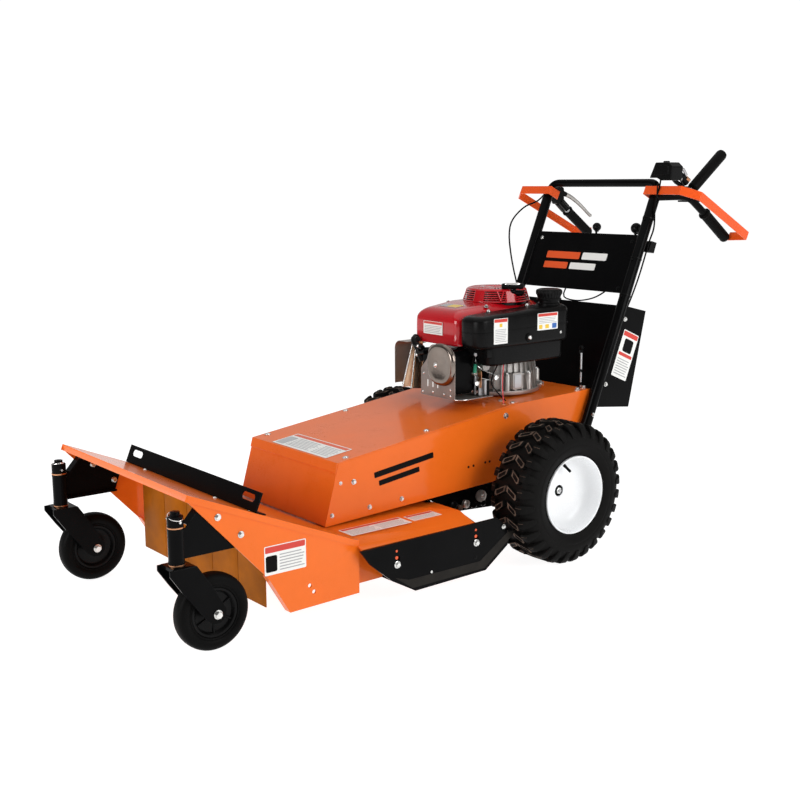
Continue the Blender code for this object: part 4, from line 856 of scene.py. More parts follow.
def crankcase():
    """Cast case with a bolted flange, upright ribs, bosses and cylinder fins."""
    case = Shape("alloy")
    centre = Vector((0, ENGINE_Y, 0))
    z0 = PLATE_Z
    case.lathe("z", centre, [(0, z0), (0.1345, z0), (0.135, z0 + 0.001), (0.135, z0 + 0.011),
                             (0.134, z0 + 0.012), (0.122, z0 + 0.013), (0.118, z0 + 0.016),
                             (0.1165, 0.49), (0.1165, 0.496), (0.1195, 0.497), (0.1195, 0.503),
                             (0.1155, 0.504), (0.109, 0.59), (0.105, 0.597), (0, 0.598)], None, 96)
    for i in range(36):
        t = 2 * math.pi * (i + 0.5) / 36
        out, side = Vector((math.cos(t), math.sin(t), 0)), Vector((-math.sin(t), math.cos(t), 0)) * 0.002
        rings = []
        for z, reach in ((z0 + 0.01, 0.131), (0.494, 0.1255), (0.53, 0.12), (0.56, 0.112)):
            up = centre + Vector((0, 0, z))
            rings.append([up + out * 0.1 - side, up + out * reach - side, up + out * reach + side,
                          up + out * 0.1 + side])
        case.loft(rings)
    for i in range(10):
        t = 2 * math.pi * (i + 0.25) / 10
        at = centre + Vector((0.125 * math.cos(t), 0.125 * math.sin(t), z0))
        case.turned_on(at, (0, 0, 1), [(0.0092, 0.0), (0.0092, 0.06), (0.0082, 0.062)], None, 20)
        case.hex_bolt(at + Vector((0, 0, 0.062)), (0, 0, 1), 0.01)
    case.slab("x", rounded((0.04, 0.458), (0.078, 0.508), 0.003, 3), 0.11, 0.13)
    case.slab("x", rounded((0.045, 0.463), (0.073, 0.503), 0.003, 3), 0.11, 0.1318, "steel")
    case.turned_on((0.104, 0.166, 0.46), (0.8, 0.6, 0), [(0.012, 0), (0.012, 0.012), (0.009, 0.014)],
                   None, 24)
    case.hex_bolt((0.115, 0.174, 0.46), (0.8, 0.6, 0), 0.012)
    case.block((-0.046, -0.096, 0.48), (0.046, 0.02, 0.59))
    for i in range(9):
        z = 0.482 + 0.0125 * i
        case.slab("z", rounded((-0.062, -0.098), (0.062, 0.01), 0.01, 4), z, z + 0.0034)
    case.done("engine_crankcase_finish", bevel=0.0005)


COVER_FOOT = [(0.102, 0.715), (0.102, 0.7166), (0.1, 0.718)]
COVER_SLATS = [(0.0996 - 0.00104 * i, 0.7192 + 0.0031 * i) for i in range(10)]
COVER_TOP = [(0.0893, 0.75), (0.0865, 0.7535), (0.08, 0.7552), (0.072, 0.7556), (0.06, 0.756),
             (0.05, 0.7562), (0.04, 0.7562), (0.038, 0.7545), (0.034, 0.754), (0.02, 0.754),
             (0.001, 0.754)]
ROPE_EYE = Vector((0.087, 0.074, 0.7525))
PULL = Vector((0.405, -0.32, 0.857)).normalized()
GROUP_TURN, SLOT_SHARE = 0.12, 0.66    # where a sixth of the cover starts, and how much of it is slots


def starter():
    """Vented starter cover with its handle and rope."""
    steps = 180
    cover = Shape("red")
    rows = []
    for r, z in COVER_FOOT + COVER_SLATS + COVER_TOP:
        swell = 0.0016 if 0.717 < z < 0.7525 else 0.0
        rows.append([cover.bm.verts.new(((r + swell * pillar(t)) * math.cos(t),
                                         ENGINE_Y + (r + swell * pillar(t)) * math.sin(t), z))
                     for t in full_turn(steps)])
    faces = []
    for k, (first, second) in enumerate(zip(rows, rows[1:])):
        for i in range(steps):
            if vented(k, i, steps):
                continue
            j = (i + 1) % steps
            faces.append(cover.bm.faces.new((first[i], first[j], second[j], second[i])))
    cover.paint(faces, "red")
    piece = cover.done("recoil_cover_finish", sharp=50)
    wall = piece.modifiers.new("wall", "SOLIDIFY")
    wall.thickness = 0.0022
    wall.offset = -1
    drum = Shape("black_plastic")
    drum.lathe("z", (0, ENGINE_Y, 0), [(0, 0.706), (0.092, 0.706), (0.09, 0.735), (0.086, 0.746),
                                       (0.078, 0.75), (0.04, 0.751), (0, 0.751)], None, 64)
    drum.done("starter_drum")
    across = Vector((-PULL.y, PULL.x, 0)).normalized()
    grip = Shape("black_plastic")
    centre = ROPE_EYE + PULL * 0.012
    half = 0.033
    path = [centre + across * half * t for t in (-1, -0.94, -0.8, -0.35, 0, 0.35, 0.8, 0.94, 1)]
    grip.tube(path, [0.005, 0.0082, 0.0092, 0.0084, 0.0096, 0.0084, 0.0092, 0.0082, 0.005], None, 24)
    # A bright metal strip along the grip paints its highlight.
    grip.tube([centre + PULL * 0.0074 + across * half * t for t in (-0.72, -0.6, 0.5, 0.66)],
              [0.002, 0.0046, 0.0046, 0.002], "bright_metal", 16)
    grip.tube([centre, ROPE_EYE - PULL * 0.165], 0.0022, "ink_silver", 10)
    grip.done("recoil_handle_finish", body="starter_grip")
    eye = Shape("black_plastic")
    eye.turned_on(ROPE_EYE, PULL, [(0.0062, -0.012), (0.011, -0.012), (0.011, -0.001),
                                   (0.0095, 0.001), (0.0062, 0.001)], None, 28)
    rest = ROPE_EYE - PULL * 0.012
    eye.tube([rest - across * 0.026, rest - across * 0.02, rest + across * 0.03, rest + across * 0.036],
             [0.004, 0.0085, 0.0085, 0.004], None, 16)
    eye.done("rope_eye")
    ribs = Shape("red")
    turn = -0.62
    for lean in (0.1, -0.1):
        foot = Vector((0.1 * math.cos(turn), ENGINE_Y + 0.1 * math.sin(turn), 0.72))
        head = Vector((0.095 * math.cos(turn + lean), ENGINE_Y + 0.095 * math.sin(turn + lean), 0.748))
        ribs.tube([foot, foot.lerp(head, 0.5) + Vector((0.0006, -0.0006, 0)), head], 0.0022, None, 10)
    ribs.done("starter_ribs")


def pillar(turn):
    """Where the cover's wall stands out, between its six groups of slots: 1, or 0 over a slot."""
    return 1.0 if (turn / (math.pi / 3) + GROUP_TURN) % 1.0 >= SLOT_SHARE else 0.0


def vented(row, step, steps):
    """Where the cover is open: five rows of slots in six groups, and spokes on its top."""
    share = (step / steps * 6 + GROUP_TURN) % 1.0
    if 3 <= row <= 11 and row % 2 == 1 and share < SLOT_SHARE:
        return True
    return 15 <= row <= 17 and (step // 2) % 2 == 0 and (step / steps * 6) % 1.0 > 0.08


def tank():
    """Moulded fuel tank with a seam, bosses and a fluted cap."""
    low, high = (SHROUD_X + 0.0012, -0.158), (0.198, 0.215)
    shape = Shape("black_plastic")
    levels = [(0.6 + 0.014 * (1 - math.cos(t)), 0.014 * (1 - math.sin(t))) for t in quarter(6)]
    levels += [(0.6515, 0.0), (0.6525, -0.0012), (0.655, -0.0012), (0.656, 0.0)]
    levels += [(0.6905 + 0.02 * math.sin(t), 0.02 * (1 - math.cos(t))) for t in quarter(6)]
    rings = []
    for z, inset in levels:
        outline = rounded((low[0] + max(inset, 0), low[1] + inset), (high[0] - inset, high[1] - inset),
                          0.034 - max(inset, 0) * 0.5, 8)
        rings.append([(x, y, z - tank_fall(z) * (high[1] - y)) for x, y in outline])
    shape.loft(rings)
    belly = []
    for z, inset in ((0.548, 0.006), (0.55, 0.002), (0.556, 0.0), (0.606, 0.0)):
        outline = rounded((0.122 + inset, -0.105 + inset), (0.186 - inset, 0.196 - inset), 0.02, 6)
        belly.append([(x, y, z) for x, y in outline])
    shape.loft(belly)
    shape.lathe("z", (0.15, 0.165, 0), [(0, 0.7), (0.033, 0.7), (0.033, 0.712), (0.03, 0.7145),
                                         (0.03, 0.72), (0, 0.7205)], None, 48)
    for y in (-0.045, 0.11):
        top = 0.71 - tank_fall(0.7105) * (high[1] - y)
        shape.turned_on((0.112, y, top - 0.002), (0, 0, 1), [(0.0075, 0), (0.0075, 0.003)], None, 20)
        shape.hex_bolt((0.112, y, top + 0.001), (0, 0, 1), 0.008)
    shape.turned_on((0.1975, 0.036, 0.623), (1, 0, 0), [(0.013, 0.0), (0.012, 0.004), (0.004, 0.0045)],
                    None, 28)
    shape.turned_on((0.201, 0.036, 0.623), (1, 0, 0), [(0.0062, 0), (0.0062, 0.004), (0.004, 0.006)],
                    "zinc", 20)
    shape.dome_bolt((0.198, 0.168, 0.628), (1, 0, 0), 0.0035)
    shape.done("fuel_tank_finish", sharp=50)
    cap = Shape("black_plastic")
    rings = []
    for z, radius, flute in ((0.721, 0.0362, 0), (0.7225, 0.0372, 0), (0.7262, 0.0372, 0),
                             (0.727, 0.0335, 0.0), (0.728, 0.0335, 0.0008), (0.735, 0.035, 0.0012),
                             (0.7395, 0.0376, 0.0016), (0.748, 0.038, 0.0016), (0.752, 0.0358, 0.001),
                             (0.7545, 0.029, 0), (0.7548, 0.02, 0), (0.7535, 0.019, 0),
                             (0.7535, 0.001, 0)):
        rings.append([(0.15 + (radius + flute * math.cos(t * 24)) * math.cos(t),
                       0.165 + (radius + flute * math.cos(t * 24)) * math.sin(t), z)
                      for t in full_turn(120)])
    cap.loft(rings)
    cap.done("fuel_cap_finish", body="tank_cap", sharp=50)


def tank_fall(z):
    """How steeply the tank falls towards the front at a height: not at all low down, most at its top."""
    return 0.05 * max(0.0, z - 0.62) / 0.09


def exhaust():
    """Muffler with a domed guard, its tray, and the folded heat deflector."""
    box = Shape("guard_plate")
    box.slab("y", rounded((-0.022, 0.462), (0.112, 0.592), 0.012, 6), -0.1825, -0.108, "black_coat")
    plate = [(-0.025, 0.4525), (0.126, 0.4525), (0.126, 0.57)]
    plate += [(0.091 + 0.035 * math.cos(t), 0.57 + 0.035 * math.sin(t)) for t in quarter(8)[1:]]
    plate += [(0.033 + 0.025 * math.cos(t), 0.58 + 0.025 * math.sin(t)) for t in
              [math.pi / 2 * (1 + i / 6) for i in range(7)]] + [(0.002, 0.56), (-0.025, 0.53)]
    box.slab("y", plate, -0.1868, -0.1835)
    dome = []
    swell = [(0.0112 * math.sin(t), 0.01 * (1 - math.cos(t))) for t in quarter(6)]
    for lift, inset in [(0.0, 0.0)] + swell + [(0.0108, 0.022), (0.0092, 0.027)]:
        outline = rounded((0.01 + inset, 0.488 + inset), (0.128 - inset, 0.611 - inset), 0.052 - inset, 12)
        dome.append([(x, -0.1866 - lift, z) for x, z in outline])
    box.loft(dome, "chrome")
    box.turned_on((0.051, -0.1957, 0.547), (0, -1, 0), [(0.0135, -0.001), (0.013, 0.0006), (0.009, 0.0002)],
                  "chrome", 28)
    box.dome_bolt((0.051, -0.1958, 0.547), (0, -1, 0), 0.0058, "bright_metal")
    for x in (0.005, 0.028, 0.05):
        box.slab("y", rounded((x, 0.478), (x + 0.004, 0.5), 0.0019, 4), -0.1874, -0.1862, "bright_metal")
    for x, z in ((-0.016, 0.46), (0.03, 0.464), (0.108, 0.462), (0.108, 0.48), (-0.012, 0.516),
                 (0.08, 0.464)):
        box.dome_bolt((x, -0.1868, z), (0, -1, 0), 0.0032, "bright_metal")
    box.done("muffler_finish", bevel=0.0006)
    tray = Shape("grey_sheet")
    corner = [(0.115 + 0.03 * math.cos(t), -0.155 + 0.03 * math.sin(t)) for t in
              [math.pi / 2 * (-1 + i / 8) for i in range(9)]]
    outline = [(-0.025, -0.185)] + corner + [(0.145, -0.055), (-0.025, -0.055)]
    tray.slab("z", outline, 0.4506, 0.4532)
    # The rim bead is bright metal, a painted highlight along the tray's edge.
    rim = [Vector((x, y, 0.453)) for x, y in outline[1:-1]]
    tray.tube(rim, 0.0018, "bright_metal", 8)
    tray.done("muffler_tray", bevel=0.0006)
    sheet = Shape("grey_sheet")
    path = [(-0.17, 0.465), (-0.17, 0.56)] + [(-0.145 + 0.025 * math.cos(t), 0.5725 + 0.025 * math.sin(t))
            for t in [math.pi - math.pi / 2 * i / 8 for i in range(9)]] + [(-0.106, 0.5975)]
    sheet.slab("y", folded(path, -0.0015), -0.172, -0.08)
    sheet.dome_bolt((-0.17, -0.16, 0.474), (-1, 0, 0), 0.003)
    sheet.done("heat_shield_sheet", bevel=0.0004, sharp=50)
    deflector = Shape("bronze")
    crest = [(-0.166, -0.138, 0.456), (-0.136, -0.168, 0.456), (-0.116, -0.14, 0.456),
             (-0.096, -0.166, 0.456), (-0.076, -0.138, 0.456), (-0.056, -0.15, 0.456)]
    top = [(-0.128, -0.12, 0.5965), (-0.121, -0.138, 0.5965), (-0.114, -0.124, 0.5965),
           (-0.107, -0.137, 0.5965), (-0.1, -0.12, 0.5965), (-0.094, -0.124, 0.5965)]
    back = [(x, y + 0.0018, z) for x, y, z in reversed(crest)]
    back_top = [(x, y + 0.0018, z) for x, y, z in reversed(top)]
    deflector.loft([crest + back, top + back_top])
    for low, high in zip(crest[1:4:2], top[1:4:2]):
        deflector.tube([low, high], [0.004, 0.0022], "bright_metal", 10)
    deflector.block((-0.124, -0.13, 0.59), (-0.098, -0.106, 0.596), "bronze")
    deflector.done("heat_shield_folds", replaces=["heat_shield"], bevel=0.0004)
    clamp = Shape("black_plastic")
    clamp.tube(smooth_route([(-0.086, -0.156, 0.612), (-0.074, -0.172, 0.604), (-0.052, -0.178, 0.588),
                             (-0.04, -0.176, 0.566), (-0.034, -0.172, 0.548)]), 0.011, None, 16)
    clamp.tube([(-0.096, -0.158, 0.606), (-0.06, -0.17, 0.61)], 0.0085, None, 16)
    clamp.tube([(-0.05, -0.184, 0.596), (-0.018, -0.186, 0.59)], 0.0075, None, 16)
    clamp.tube([(-0.034, -0.186, 0.572), (-0.006, -0.188, 0.578)], 0.006, None, 16)
    clamp.dome_bolt((-0.034, -0.192, 0.594), (0.2, -1, 0.2), 0.004, "bright_metal")
    clamp.dome_bolt((-0.046, -0.186, 0.566), (0.2, -1, 0), 0.0036)
    clamp.done("plug_cap")


def carburettor():
    """Carburettor, governor links, springs and wires in the gap under the tank."""
    carb = Shape("alloy")
    centre = Vector((0.078, -0.066, 0.54))
    carb.turned_on(centre, (1, 0, 0), [(0.018, -0.03), (0.018, 0.018), (0.014, 0.022), (0.014, 0.05)],
                   None, 28)
    carb.turned_on(centre + Vector((0.006, 0, -0.014)), (0, 0, -1),
                   [(0.013, 0), (0.013, 0.014), (0.016, 0.016), (0.016, 0.04), (0.012, 0.044)], None, 28)
    carb.hex_bolt(centre + Vector((0.006, 0, -0.058)), (0, 0, -1), 0.009, "copper")
    for dx, dy in ((0.016, 0.012), (0.016, -0.012), (-0.01, -0.014)):
        carb.turned_on(centre + Vector((dx, dy, 0.012)), (0, 0, 1),
                       [(0.004, 0), (0.004, 0.016), (0.003, 0.018)], "zinc", 12)
    carb.slab("x", rounded((-0.108, 0.462), (-0.046, 0.594), 0.008, 5), 0.064, 0.07, "black_plastic")
    carb.slab("y", rounded((0.066, 0.572), (0.186, 0.602), 0.006, 5), -0.116, -0.098, "black_plastic")
    carb.slab("y", rounded((0.07, 0.458), (0.118, 0.6), 0.006, 5), -0.05, -0.046, "black_plastic")
    for x, y, z, r in ((0.1, -0.116, 0.582, 0.004), (0.136, -0.116, 0.58, 0.005)):
        carb.dome_bolt((x, y, z), (0, -1, 0), r, "ink_silver")
    carb.slab("y", rounded((0.06, 0.585), (0.17, 0.599), 0.004, 4), -0.12, -0.03, "black_plastic")
    carb.turned_on((0.142, -0.06, 0.585), (0, 0, -1), [(0.022, -0.01), (0.022, 0.02), (0.016, 0.026)],
                   "black_plastic", 28)
    carb.hex_bolt((0.15, -0.08, 0.568), (0.6, -0.8, 0), 0.012)
    carb.tube([(0.112, -0.096, 0.546), (0.118, -0.102, 0.522)], 0.0055, "green", 12)
    carb.done("carburettor", bevel=0.0004)
    links = Shape("zinc")
    links.tube([(0.058, -0.092, 0.56), (0.1, -0.094, 0.553), (0.132, -0.082, 0.53), (0.158, -0.05, 0.514)],
               0.0014, None, 8)
    links.tube([(0.07, -0.1, 0.54), (0.122, -0.092, 0.508), (0.15, -0.06, 0.5)], 0.0012, None, 8)
    coil = [Vector((0.092 + 0.03 * i / 80, -0.102 + 0.0036 * math.cos(i * 0.9),
                    0.52 + 0.0036 * math.sin(i * 0.9))) for i in range(80)]
    links.tube(coil, 0.0007, None, 6)
    links.slab("y", rounded((0.118, 0.478), (0.134, 0.53), 0.004, 4), -0.092, -0.0895, "copper")
    links.slab("x", rounded((-0.096, 0.456), (-0.06, 0.5), 0.004, 4), 0.126, 0.129, "steel")
    links.tube([(0.104, -0.088, 0.4555), (0.104, -0.088, 0.512)], 0.0034, "steel", 12)
    links.tube([(0.14, -0.07, 0.4555), (0.14, -0.07, 0.5)], 0.0045, "black_plastic", 12)
    for x, y, z in ((0.104, -0.09, 0.516), (0.126, -0.1, 0.492), (0.156, -0.052, 0.508)):
        links.hex_bolt((x, y, z), (0.5, -0.8, 0.2), 0.008)
    links.done("governor_links")
    wires = Shape("wire_red")
    wires.tube(smooth_route([(0.168, -0.03, 0.6), (0.176, -0.042, 0.56), (0.18, -0.05, 0.5),
                             (0.19, -0.058, 0.47), (0.203, -0.066, 0.439)]), 0.0014, None, 8)
    wires.tube(smooth_route([(0.16, -0.02, 0.6), (0.16, -0.05, 0.55), (0.154, -0.07, 0.5),
                             (0.166, -0.06, 0.47), (0.19, -0.046, 0.444)]), 0.002, "rubber", 8)
    wires.tube(smooth_route([(0.132, -0.1, 0.598), (0.126, -0.112, 0.57), (0.112, -0.11, 0.545),
                             (0.1, -0.098, 0.535)]), 0.0036, "rubber", 10)
    wires.turned_on((0.203, -0.066, 0.4372), (0, 0, 1), [(0.007, 0), (0.007, 0.002)], "copper", 16)
    wires.done("engine_wires")


# ---------------------------------------------------------------- handles and controls
UPRIGHT_X, UPRIGHT_R = 0.23, 0.0165
LEAN = 0.4208              # how far the uprights lean back for each unit of height
UPWARDS = Vector((0, LEAN, 1)).normalized()
GRIP_START, GRIP_END = Vector((0.2946, 0.697, 0.9705)), Vector((0.2943, 0.808, 0.8911))


def upright_y(z):
    """The uprights' centre line at a height."""
    return 0.248 + LEAN * (z - 0.33)


def handle():
    """Tubes, grips, guards, panel, shield, levers and pod."""
    frame_tubes()
    line = GRIP_END - GRIP_START
    for label, side in SIDES.items():
        softened(f"hand_guard_{label}", "orange_guard", bevel=0.0012)
        grip = Shape("rubber")
        rings = [(0.0, 0.0118), (0.002, 0.015), (0.004, 0.0186), (0.008, 0.019), (0.01, 0.0166)]
        ribs = 16
        for i in range(ribs):
            start = 0.016 + (line.length - 0.03) * i / ribs
            rings += [(start, 0.0158), (start + 0.002, 0.0166), (start + 0.0045, 0.0166)]
        rings += [(line.length - 0.006, 0.0162), (line.length + 0.002, 0.0166),
                  (line.length + 0.006, 0.015), (line.length + 0.008, 0.01)]
        run = line.normalized()
        grip.tube([GRIP_START + run * s for s, _ in rings], [r for _, r in rings], None, 32)
        grip.done(f"hand_grip_{label}_finish", side=side, sharp=60)
    softened("console_panel", "black_coat", bevel=0.001)
    softened("rear_shield", "black_coat", bevel=0.0012)
    for node in ("brake_cable", "throttle_cable"):
        softened(node, "rubber", bevel=0, sharp=60)
    levers()
    handle_hardware()


def frame_tubes():
    """Uprights, crossbar and grip tubes, smoothly bent."""
    tubes = Shape("black_coat")
    for side in SIDES.values():
        x = side * UPRIGHT_X
        ends = [(0.2, UPRIGHT_R - 0.001), (0.2015, UPRIGHT_R), (1.0465, UPRIGHT_R),
                (1.048, UPRIGHT_R - 0.001)]
        tubes.tube([(x, upright_y(z), z) for z, _ in ends], [r for _, r in ends], None, 40)
        start = Vector((side * 0.236, upright_y(1.02), 1.02))
        elbow = Vector((side * 0.29, 0.625, 1.022))
        route = bend([start, elbow, Vector((side * GRIP_START.x, *GRIP_START.yz)),
                      Vector((side * GRIP_END.x, *GRIP_END.yz))], 0.03, 8)
        tubes.tube(route, 0.0115, None, 28)
    low = Vector((UPRIGHT_X - 0.001, upright_y(0.98), 0.98))
    top = Vector((UPRIGHT_X - 0.001, upright_y(1.063), 1.063))
    flip = Matrix.Diagonal((-1, 1, 1))
    tubes.tube(bend([low, top, flip @ top, flip @ low], 0.035, 10), 0.0125, None, 28)
    tubes.block((0.252, 0.648, 1.004), (0.258, 0.672, 1.052))
    tubes.block((0.252, 0.622, 1.004), (0.3, 0.672, 1.009))
    tubes.block((-0.296, 0.636, 1.004), (-0.2896, 0.66, 1.044))
    tubes.done("handle_frame_finish", bevel=0.0005, sharp=40)


def levers():
    """Ball levers, drive lever, brake lever and pod."""
    for name, (x, radius) in {"throttle_lever": (0.012, 0.014), "speed_lever": (0.176, 0.017)}.items():
        lever = Shape("black_plastic")
        lever.tube([(x - 0.005, 0.506, 0.85), (x + 0.007, 0.506, 0.85)], 0.01, "black_coat", 24)
        lever.tube([(x, 0.506, 0.85), (x, 0.519, 0.9235 - radius * 0.6)], 0.0035, "black_coat", 14)
        ball = [(radius * math.sin(math.pi * i / 20) if 0 < i < 20 else 0.0,
                 -radius * math.cos(math.pi * i / 20)) for i in range(21)]
        lever.lathe("z", (x, 0.519, 0.9235), ball, None, 36)
        lever.lathe("z", (x, 0.519, 0.9235), [(0.0055, -radius * 1.1), (0.0065, -radius * 1.08),
                                               (0.0065, -radius * 0.8), (0.0055, -radius * 0.78)], None, 24)
        lever.done(f"{name}_finish", body=name)
    pivot, tip = Vector((0.268, 0.662, 1.038)), Vector((0.27, 0.807, 1.149))
    run = (tip - pivot).normalized()
    length = (tip - pivot).length
    drive = Shape("rubber")
    drive.tube([(0.2584, *pivot.yz), (0.27, *pivot.yz)], 0.013, "black_coat", 28)
    drive.tube([pivot, pivot + run * 0.06], 0.007, "black_coat", 20)
    stations = [(0.01, 0.012), (0.012, 0.016), (0.016, 0.0172), (length - 0.001, 0.0178),
                (length + 0.006, 0.0158), (length + 0.009, 0.0105)]
    drive.tube([pivot + run * s for s, _ in stations], [r for _, r in stations], None, 36)
    drive.hex_bolt((0.2702, *pivot.yz), (1, 0, 0), 0.013)
    drive.done("drive_lever_finish", body="drive_lever", sharp=50)
    x, y, z = -0.28, 0.648, 1.033
    brake = Shape("alloy")
    brake.tube([(x - 0.009, y, z), (x + 0.009, y, z)], 0.01, "black_coat", 24)
    path = smooth_route([(x, y, z), (x - 0.001, 0.672, 1.026), (x - 0.002, 0.706, 1.014),
                         (x - 0.003, 0.752, 0.988), (x - 0.004, 0.806, 0.9495)], 6)
    sizes = [0.0088 - 0.0034 * i / (len(path) - 1) for i in range(len(path))]
    brake.tube(path, sizes, None, 18)
    brake.tube(path[:8], [size + 0.0006 for size in sizes[:8]], "black_coat", 18)
    ball = Vector((x - 0.004, 0.808, 0.949))
    brake.turned_on(ball, (0, 1, -0.6), [(0.0048, -0.006), (0.0057, -0.004), (0.006, 0.0), (0.005, 0.003),
                                         (0.002, 0.0045)], None, 20)
    brake.hex_bolt((x + 0.009, y, z), (1, 0, 0), 0.01)
    brake.done("brake_lever_finish", body="brake_lever", sharp=50)
    pod = Shape("black_plastic")
    outline = [(0.218, 1.078), (0.24, 1.1245), (0.29, 1.1245), (0.306, 1.111), (0.302, 1.07), (0.262, 1.07),
               (0.246, 1.078)]
    pod.slab("y", outline, 0.524, 0.576)
    pod.slab("y", rounded((0.236, 1.085), (0.292, 1.117), 0.006, 4), 0.522, 0.578)
    pod.tube([(0.262, 0.55, 1.1225), (0.262, 0.55, 1.129)], 0.01, None, 24)
    pod.done("control_pod_finish", bevel=0.0025)


def handle_hardware():
    """Perch, clamps, ties, bolts and small boxes on the handle, and the rod behind the engine."""
    perch = Shape("black_plastic")
    perch.tube([(-0.285, 0.634, 1.02), (-0.285, 0.648, 1.013)], 0.017, None, 28)
    perch.slab("x", rounded((0.624, 1.012), (0.656, 1.046), 0.008, 5), -0.2888, -0.285)
    perch.tube([(-0.284, 0.629, 1.052), (-0.284, 0.644, 1.0455)], 0.006, None, 18)
    perch.hex_bolt((-0.285, 0.64, 1.02), (1, 0, 0), 0.008)
    perch.slab("x", rounded((0.612, 0.992), (0.652, 1.05), 0.01, 5), -0.2845, -0.264)
    perch.tube([(-0.272, 0.622, 1.046), (-0.268, 0.61, 1.058)], 0.008, None, 18)
    perch.tube([(-0.27, 0.64, 1.0), (-0.262, 0.668, 0.972)], 0.009, None, 18)
    perch.tube([(-0.29, 0.654, 1.001), (-0.2925, 0.676, 0.9855), (-0.2935, 0.69, 0.9755)], 0.0175, None, 24)
    perch.tube([(-0.276, 0.676, 0.972), (-0.268, 0.676, 0.972)], 0.009, "ink_silver", 20)
    perch.done("brake_perch", bevel=0.0005)
    bits = Shape("zinc")
    for (x, y, z), across in (((0.262, 0.612, 1.012), 0.011), ((0.279, 0.634, 1.01), 0.01),
                              ((0.292, 0.652, 1.01), 0.009)):
        bits.hex_bolt((x, y, z), (0, 0, 1), across)
    bits.tube([(0.274, 0.578, 1.098), (0.276, 0.59, 1.093)], 0.0062, "copper", 18)
    bits.tube([(0.29, 0.578, 1.078), (0.291, 0.586, 1.074)], 0.0052, None, 18)
    bits.tube([(0.246, 0.578, 1.102), (0.246, 0.585, 1.1)], 0.0075, "ink_red", 18)
    back = Vector((0, 1, -LEAN)).normalized()
    for x, z, ink in ((-0.195, 0.884, "zinc"), (0.195, 0.884, "black_coat"), (-0.195, 0.742, "black_coat"),
                      (0.195, 0.742, "black_coat")):
        bits.dome_bolt(Vector((x, upright_y(z), z)) - back * 0.0015, -back, 0.0055, ink)
    for side in SIDES.values():
        bits.hex_bolt((side * (UPRIGHT_X + UPRIGHT_R), upright_y(0.372), 0.372), (side, 0, 0), 0.008)
        for z in (0.24, 0.3):
            bits.hex_bolt((side * (UPRIGHT_X + UPRIGHT_R), upright_y(z), z), (side, 0, 0), 0.013)
        for y, z in ((0.399, 0.653), (0.318, 0.46)):
            bits.hex_bolt((side * (UPRIGHT_X + UPRIGHT_R - 0.001), y, z), (side, 0, 0), 0.009)
    bits.done("handle_bolts")
    ties = Shape("black_plastic")
    for z in (0.724, 0.834, 0.955):
        y = upright_y(z)
        at = Vector((UPRIGHT_X, y, z))
        ties.tube([at - UPWARDS * 0.002, at + UPWARDS * 0.002], UPRIGHT_R + 0.0012, None, 32)
        ties.block((UPRIGHT_X - 0.004, y - 0.0225, z - 0.003), (UPRIGHT_X + 0.004, y - 0.0155, z + 0.003))
    ties.block((0.26, 0.5095, 1.019), (0.264, 0.512, 1.061))
    ties.tube([(0.282, 0.574, 1.092), (0.28, 0.604, 1.08), (0.274, 0.629, 1.064)], 0.012, "black_coat", 20)
    ties.tube([(0.262, 0.576, 1.082), (0.26, 0.6, 1.066), (0.262, 0.632, 1.051)], 0.007, None, 16)
    ties.tube([(0.296, 0.572, 1.108), (0.299, 0.586, 1.103), (0.296, 0.604, 1.086)], 0.0042, "steel", 12)
    ties.tube([(0.288, 0.614, 1.078), (0.288, 0.628, 1.07)], 0.0062, "copper", 14)
    ties.slab("x", [(0.503, 0.853), (0.52, 0.886), (0.543, 0.88), (0.531, 0.848)], 0.216, 0.24)
    route = [(0.262, 0.526, 1.078), (0.262, 0.52, 1.05), (0.254, 0.512, 1.0), (0.246, 0.52, 0.93),
             (0.24, 0.505, 0.88), (0.238, 0.466, 0.78), (0.236, 0.42, 0.69), (0.226, 0.38, 0.62)]
    ties.tube(smooth_route(route), 0.0026, "rubber", 10)
    ties.done("cable_ties", bevel=0.0004)
    rod = Shape("steel")
    rod.tube([(0.172, 0.288, 0.446), (0.172, 0.288, 0.56)], 0.0036, None, 14)
    for z in (0.452, 0.492, 0.552):
        rod.turned_on((0.172, 0.288, z), (0, 0, 1), [(0.0068, 0), (0.0068, 0.008), (0.0058, 0.009)],
                      "black_coat", 6)
    rod.turned_on((0.172, 0.288, 0.563), (0, 0, 1),
                  [(0.003, -0.003), (0.0065, 0.001), (0.0075, 0.005), (0.005, 0.01), (0.001, 0.011)],
                  "black_plastic", 20)
    rod.hex_bolt((0.184, 0.2885, 0.4445), (0, 0, 1), 0.012)
    rod.done("control_rod")


